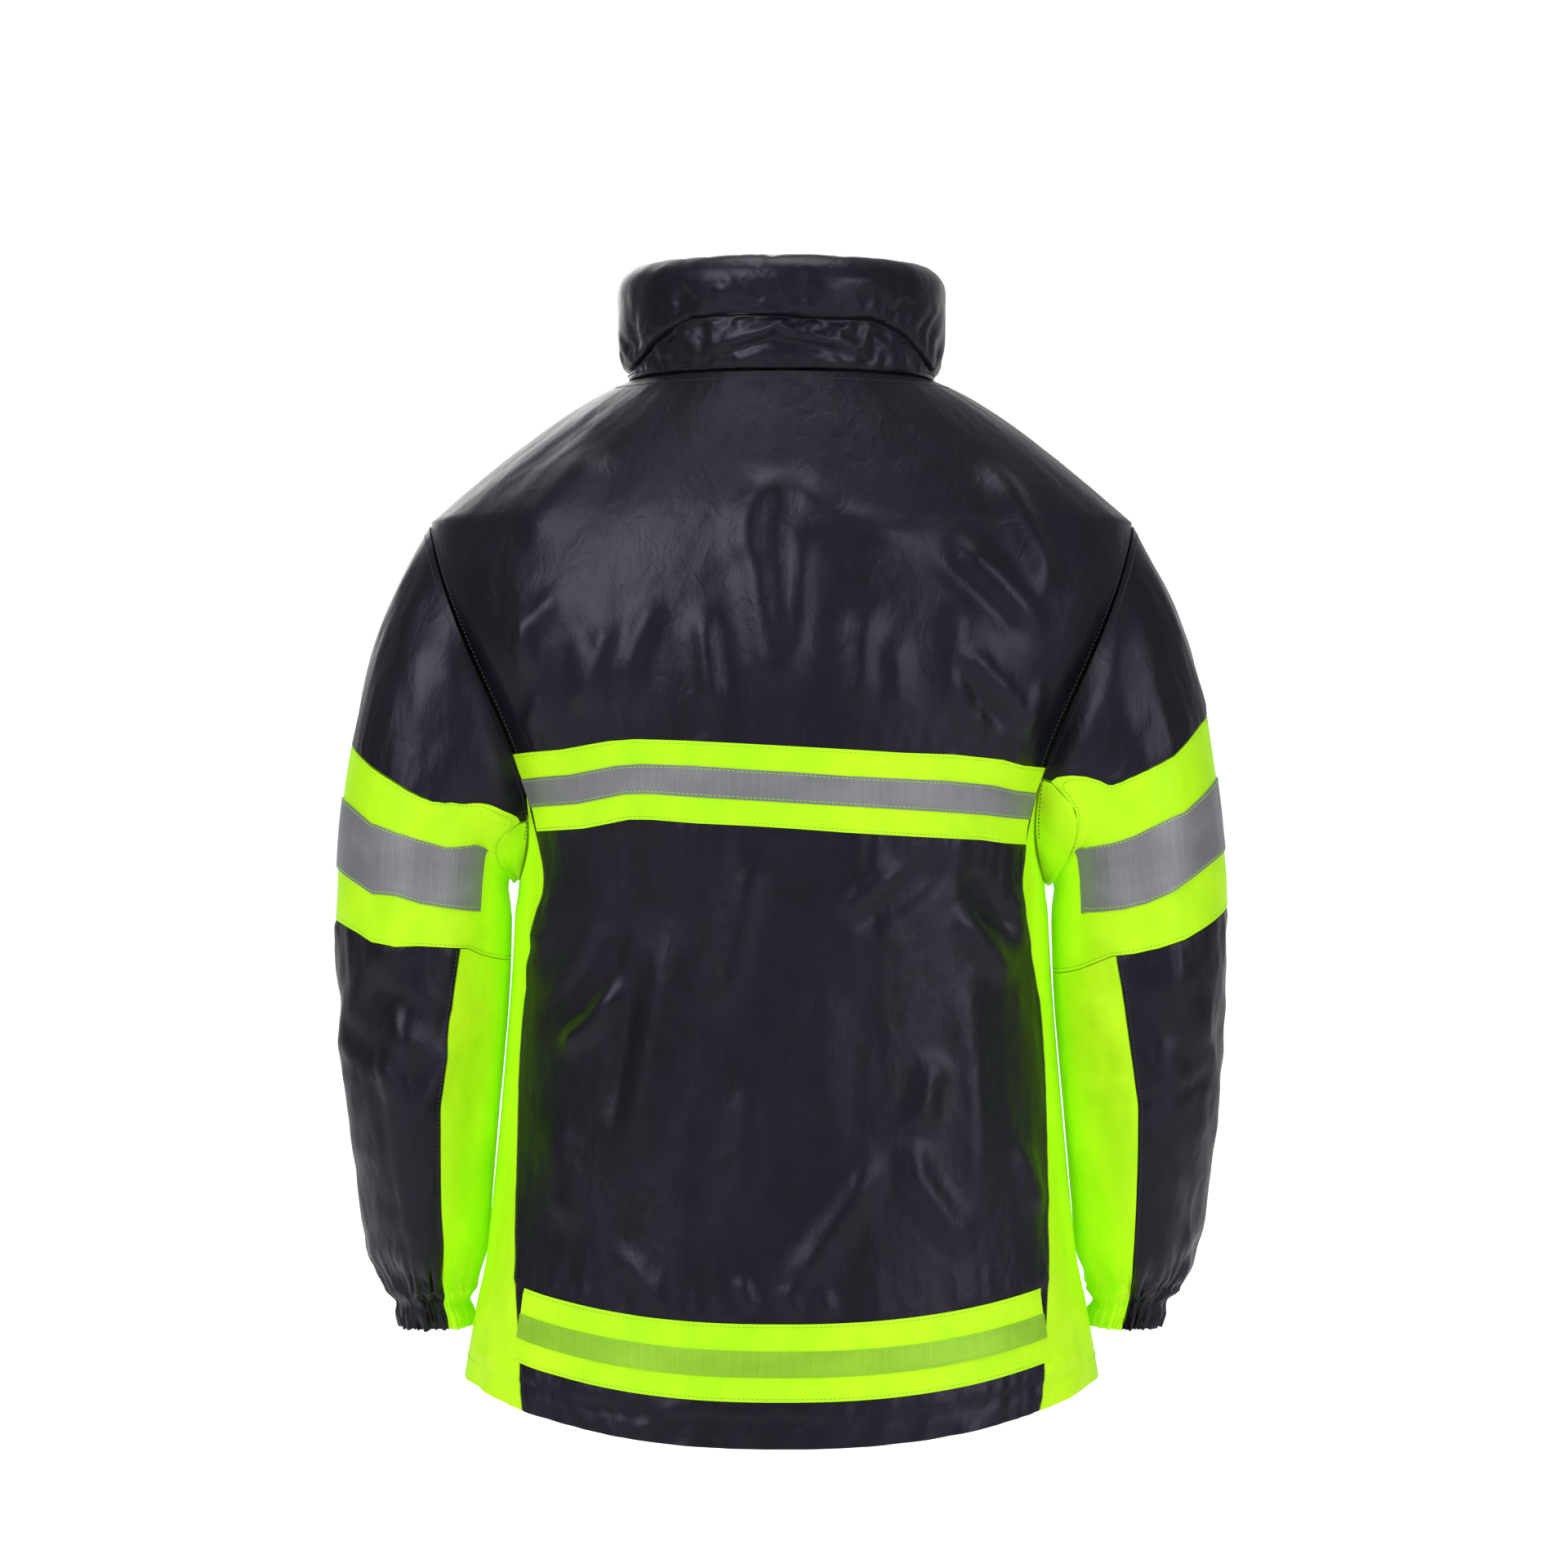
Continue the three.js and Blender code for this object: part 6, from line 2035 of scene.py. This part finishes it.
@dataclass
class FrontClosure:
    """The front zip, the storm flap over it and the flap's snaps."""

    drape: Drape
    snap_drops: tuple[float, ...] = (80, 230, 390, 560)
    snap_x: float = -26
    flap_free: float = -38
    flap_fold: float = 36
    flap_seat: float = 1.2
    flap_rise: float = 7
    flap_thick: float = 2.4
    flap_low: float = -724
    flap_high: float = -12
    zip_low: float = -714
    zip_high: float = 65
    tooth_pitch: float = 3.0

    def signed_t(self, x: Array, z: Array) -> Array:
        """t of the front surface at an x of either side."""
        t = self.drape.torso.front_t(np.abs(x), z)
        return np.where(x < 0, 2 * math.pi - t, t)

    def place(self, x: Array, z: Array, out: Array | float) -> Array:
        """Points that far out from the plain front, in metres.

        Args:
            x: Distance from the middle, in mm.
            z: Height, in mm.
            out: Distance out from the form, in mm.

        Returns:
            The points.
        """
        x, z = np.broadcast_arrays(np.asarray(x, float), np.asarray(z, float))
        form, t = self.drape.torso, self.signed_t(x, z)
        return (form.point(t, z) + form.normal(t, z) * (np.asarray(out, float) * np.ones(x.shape))[..., None]) * MM

    def build(self) -> None:
        """Makes every piece of the closure."""
        self.build_flap()
        for side in Side:
            self.build_zip(side)
        self.build_snaps()
        for node in ("front_zip_slider", "zip_pull", "zip_retainer_box", "hood_zip_slider"):
            obj = WARDROBE.put(frame["nodes"][node], Wardrobe.METAL)
            edge = obj.modifiers.new("worn_edges", "BEVEL")
            edge.width, edge.segments, edge.limit_method = 0.0003, 2, "ANGLE"
        WARDROBE.put(frame["nodes"]["hood_zip"], Wardrobe.PLASTIC)

    def build_flap(self) -> None:
        """Makes the storm flap."""
        z = np.linspace(self.flap_low, self.flap_high, 170)[:, None]
        x = np.linspace(self.flap_free, self.flap_fold, 31)[None]
        up = lerp(self.flap_seat, self.flap_rise, ease((self.flap_fold - x) / 10))
        wave = 0.9 * ruffle(x / 30, z / 70, 71) + 0.35 * ruffle(x / 9, z / 16, 72)
        wave = wave * ease((self.flap_fold - x) / 20) + 0.9
        ends = np.minimum(np.abs(z - self.flap_low), np.abs(z - self.flap_high))
        edge = np.minimum(np.abs(x - self.flap_free), ends)
        welt = 0.5 * np.exp(-((edge - 2) ** 2) / 6) - 0.5 * np.exp(-((edge - 6.5) ** 2) / 1.5)
        outer = self.place(x, z, up + self.flap_thick + np.maximum(wave + welt, 0) * 0.6)
        inner = self.place(x, z, up + 0.1)
        net = Net().sheet(outer, inner)
        obj = WARDROBE.put(net.make("storm_flap_cloth"), Wardrobe.NAVY)
        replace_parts(obj, "storm_flap")
        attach(obj, "front_flap")
        sewn = Net()
        down = np.linspace(self.flap_low + 4, self.flap_high - 4, 240)
        for at in (self.flap_free + 6.5, self.flap_fold - 5):
            across = np.full(down.shape, at)
            level = lerp(self.flap_seat, self.flap_rise, ease((self.flap_fold - at) / 10)) + self.flap_thick + 0.7
            path = self.place(across, down, level)
            stitches(sewn, path, self.place(across, down, level + 1) - path)
        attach(WARDROBE.put(sewn.make("storm_flap_stitching"), Wardrobe.NAVY_THREAD), "front_flap")

    def build_zip(self, side: Side) -> None:
        """Makes one half of the front zip: its tape, a cord along its edge and its teeth.

        Args:
            side: Its side.
        """
        z = np.linspace(self.zip_low, self.zip_high, 160)[:, None]
        x = side.value * np.linspace(2.5, 22, 9)[None]
        net = Net().sheet(self.place(x, z, -3.7), self.place(x, z, -4.6))
        across = side.value * np.linspace(2.6, 4.6, 4)[None]
        net.sheet(self.place(across, z, -2.4), self.place(across, z, -3.6))
        box = [(-1, -1), (1, -1), (1, 1), (-1, 1)]
        start = self.zip_low + (0.75 if side is Side.LEFT else 2.25)
        for level in np.arange(start, self.zip_high - 1, self.tooth_pitch):
            corners = []
            for out, grow in ((-4.9, 0.75), (-4.3, 1.0), (-1.3, 1.0), (-0.7, 0.75)):
                for a, b in box:
                    reach = 1.2 + a * 2.1 * grow + 0.4
                    corners.append((side.value * reach, level + b * 0.72 * grow, out))
            c = np.array(corners)
            points = self.place(c[:, 0], c[:, 1], c[:, 2])
            faces = [(3, 2, 1, 0), (12, 13, 14, 15)]
            for ring in (0, 4, 8):
                faces += [(ring + i, ring + (i + 1) % 4, ring + 4 + (i + 1) % 4, ring + 4 + i) for i in range(4)]
            net.solid(points, [f[::-1] for f in faces] if side is Side.RIGHT else faces)
        obj = WARDROBE.put(net.make(f"{side.word}_front_zip_chain", 30), Wardrobe.PLASTIC)
        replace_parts(obj, f"{side.word}_front_zip")
        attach(obj, "coat_body")

    def build_snaps(self) -> None:
        """Makes the domed snap caps on the flap and the studs under them."""
        form = self.drape.torso
        lean = math.atan(form.lean)
        turn = np.array([[1, 0, 0], [0, math.cos(lean), math.sin(lean)], [0, -math.sin(lean), math.cos(lean)]])
        for number, drop in enumerate(self.snap_drops, 1):
            surface = form.point(self.signed_t(np.array(self.snap_x), np.array(-drop)), np.array(-drop))
            base = np.array([self.snap_x, float(surface[1]), -drop])
            for part, outline, foot, body, finish in (
                ("cap", SNAP_CAP, 10.0, "front_flap", Wardrobe.METAL),
                ("stud", SNAP_STUD, 1.0, "coat_body", Wardrobe.METAL),
            ):
                points, faces = turned(outline)
                points = np.stack([points[:, 0], -(points[:, 2] + foot), points[:, 1]], -1)
                obj = Net().solid((points @ turn.T + base) * MM, faces).make(f"domed_snap_{part}_{number}", 35)
                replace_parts(WARDROBE.put(obj, finish), f"snap_{part}_{number}")
                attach(obj, body)


@dataclass
class Pockets:
    """The two bellows pockets and the flaps over their mouths."""

    closure: FrontClosure
    inner_x: float = 60
    outer_x: float = 152
    mouth: float = -472
    deep: float = 150
    pleat: float = 22
    seat: float = 0.4
    cover: float = 50

    def build(self) -> None:
        """Makes both pockets."""
        for side in Side:
            self.build_bag(side)
            self.build_cover(side)

    def build_bag(self, side: Side) -> None:
        """Makes one pocket: a flat front on a pleated bellows, open at its mouth.

        Args:
            side: Its side.
        """
        climb, face = np.linspace(0, 1, 9)[:-1], np.linspace(0, 1, 29)
        u = np.concatenate([climb - 1, face, 2 - climb[::-1]])[None]
        v = np.concatenate([climb - 1, np.linspace(0, 1, 43)])[:, None]
        over_u, over_v = np.clip(u, 0, 1), np.clip(v, 0, 1)
        wall = np.minimum(np.clip(u + 1, 0, 1), np.clip(2 - u, 0, 1)) * np.clip(v + 1, 0, 1) + 0 * u
        tuck = 3.0 * np.sin(math.pi * np.clip(wall, 0, 1)) ** 2
        side_in = np.where(u < 0, 1, np.where(u > 1, -1, 0))
        low_in = np.where(v < 0, 1, 0)
        x = lerp(self.inner_x, self.outer_x, over_u) + side_in * tuck
        z = lerp(self.mouth - self.deep, self.mouth, over_v) + low_in * tuck
        swell = 1.2 * np.sin(math.pi * over_u) * np.sin(math.pi * over_v / 1.4)
        ripple = 0.7 * ruffle(x / 22, z / 34, 81 + side.value) + 0.3 * ruffle(x / 8, z / 10, 84)
        out = self.seat + self.pleat * wall + (swell + ripple) * (wall >= 0.999)
        x, z, out = np.broadcast_arrays(x, z, out)
        outer = self.closure.place(side.value * x, z, out)
        back_x = np.clip(x, self.inner_x + 2.2, self.outer_x - 2.2)
        back_z = np.maximum(z, self.mouth - self.deep + 2.2)
        inner = self.closure.place(side.value * back_x, back_z, np.maximum(out - 2.0, self.seat + 0.05))
        obj = WARDROBE.put(Net().sheet(outer, inner).make(f"{side.word}_bellows_pocket"), Wardrobe.NAVY)
        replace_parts(obj, f"{side.word}_pocket")
        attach(obj, "coat_body")

    def build_cover(self, side: Side) -> None:
        """Makes one pocket flap.

        Args:
            side: Its side.
        """
        low = self.mouth - self.cover
        rows = np.concatenate([np.linspace(low, self.mouth + 1, 24), np.linspace(self.mouth + 2, self.mouth + 20, 12)])
        rows = rows[:, None]
        rise = ease((rows - self.mouth - 1) / 19)
        u = np.linspace(0, 1, 37)[None]
        x = lerp(self.inner_x - 3, self.outer_x + 3, u)
        edge = np.minimum(np.minimum(x - self.inner_x + 3, self.outer_x + 3 - x), rows - low)
        welt = 0.4 * np.exp(-((edge - 2) ** 2) / 6) - 0.45 * np.exp(-((edge - 6) ** 2) / 1.5)
        ripple = 0.6 * ruffle(x / 26, rows / 20, 87 + side.value)
        out = lerp(self.seat + self.pleat + 1.9, 1.3, rise)
        outer = self.closure.place(side.value * x, rows, out + 2.2 + np.maximum(welt + ripple + 0.4, -0.4) * (1 - rise))
        inner = self.closure.place(side.value * x, rows, out)
        obj = WARDROBE.put(Net().sheet(outer, inner).make(f"{side.word}_pocket_cover_cloth"), Wardrobe.NAVY)
        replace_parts(obj, f"{side.word}_pocket_flap")
        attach(obj, f"{side.word}_pocket_cover")


@dataclass
class Studio:
    """A pale seamless floor, soft light and the camera."""

    distance: float = 3.2
    level: float = -0.296
    lens: float = 100.0
    floor: float = -1.05
    wall_top: float = 4.5

    def build(self) -> None:
        """Makes the floor, the lights and the camera."""
        bend, near, far, radius = np.linspace(0, 1, 14)[1:] * math.pi / 2, 5.0, -2.4, 1.4
        along = np.concatenate([np.linspace(near, far, 12), far - radius * np.sin(bend), [far - radius]])
        up = np.concatenate([np.zeros(12), radius * (1 - np.cos(bend)), [self.wall_top]]) + self.floor
        x = np.linspace(-4, 4, 9)[None]
        outer = np.stack([x + 0 * along[:, None], along[:, None] + 0 * x, up[:, None] + 0 * x], -1)
        paper = Net().sheet(outer, outer + np.array([0, -0.01, -0.01])).make("studio_floor")
        paper.data.materials.append(StudioPaper().material())
        world = bpy.data.worlds.new("studio")
        bpy.context.scene.world = world
        world.use_nodes = True
        world.node_tree.nodes["Background"].inputs["Color"].default_value = (0.93, 0.95, 1.0, 1)
        world.node_tree.nodes["Background"].inputs["Strength"].default_value = 0.26
        self.light("key", (1.9, 2.6, 1.3), (0, 0, -0.3), 1.8, 58)
        self.light("fill", (-2.3, 2.3, 0.5), (0, 0, -0.35), 1.8, 34)
        self.light("crown", (0, 0.3, 2.3), (0, 0, -0.3), 1.6, 30)
        self.light("front", (0.6, -2.4, 1.0), (0, 0, -0.3), 2.0, 34)
        self.light("backdrop", (0, -1.2, 1.2), (0, -3.8, -0.4), 2.2, 60)
        bpy.context.scene.view_settings.view_transform = "Standard"
        camera = bpy.data.cameras.new("camera")
        camera.lens, camera.sensor_width = self.lens, 36
        obj = bpy.data.objects.new("camera", camera)
        obj.location = (-0.0018, self.distance, self.level)
        obj.rotation_euler = (math.pi / 2, 0, math.pi)
        bpy.context.scene.collection.objects.link(obj)
        bpy.context.scene.camera = obj

    def light(self, name: str, at: Point, to: Point, size: float, watts: float) -> None:
        """Adds one soft light.

        Args:
            name: Its name.
            at: Where it stands.
            to: What it points at.
            size: Its width and height.
            watts: Its power.
        """
        lamp = bpy.data.lights.new(name, "AREA")
        lamp.size, lamp.energy = size, watts
        obj = bpy.data.objects.new(name, lamp)
        obj.location = at
        d = np.array(to, float) - np.array(at, float)
        obj.rotation_euler = (math.acos(-d[2] / np.linalg.norm(d)), 0, math.atan2(d[1], d[0]) - math.pi / 2)
        bpy.context.scene.collection.objects.link(obj)


def main() -> None:
    """Builds the coat, piece by piece."""
    logging.basicConfig(level=logging.INFO, format="%(name)s: %(message)s")
    form = TorsoForm()
    drape = Drape(form)
    Studio().build()
    Torso(drape).build()
    for side in Side:
        Sleeve(side, SleeveForm(form)).build()
    Collar(drape).build()
    closure = FrontClosure(drape)
    closure.build()
    Pockets(closure).build()


if __name__ == "__main__":
    main()
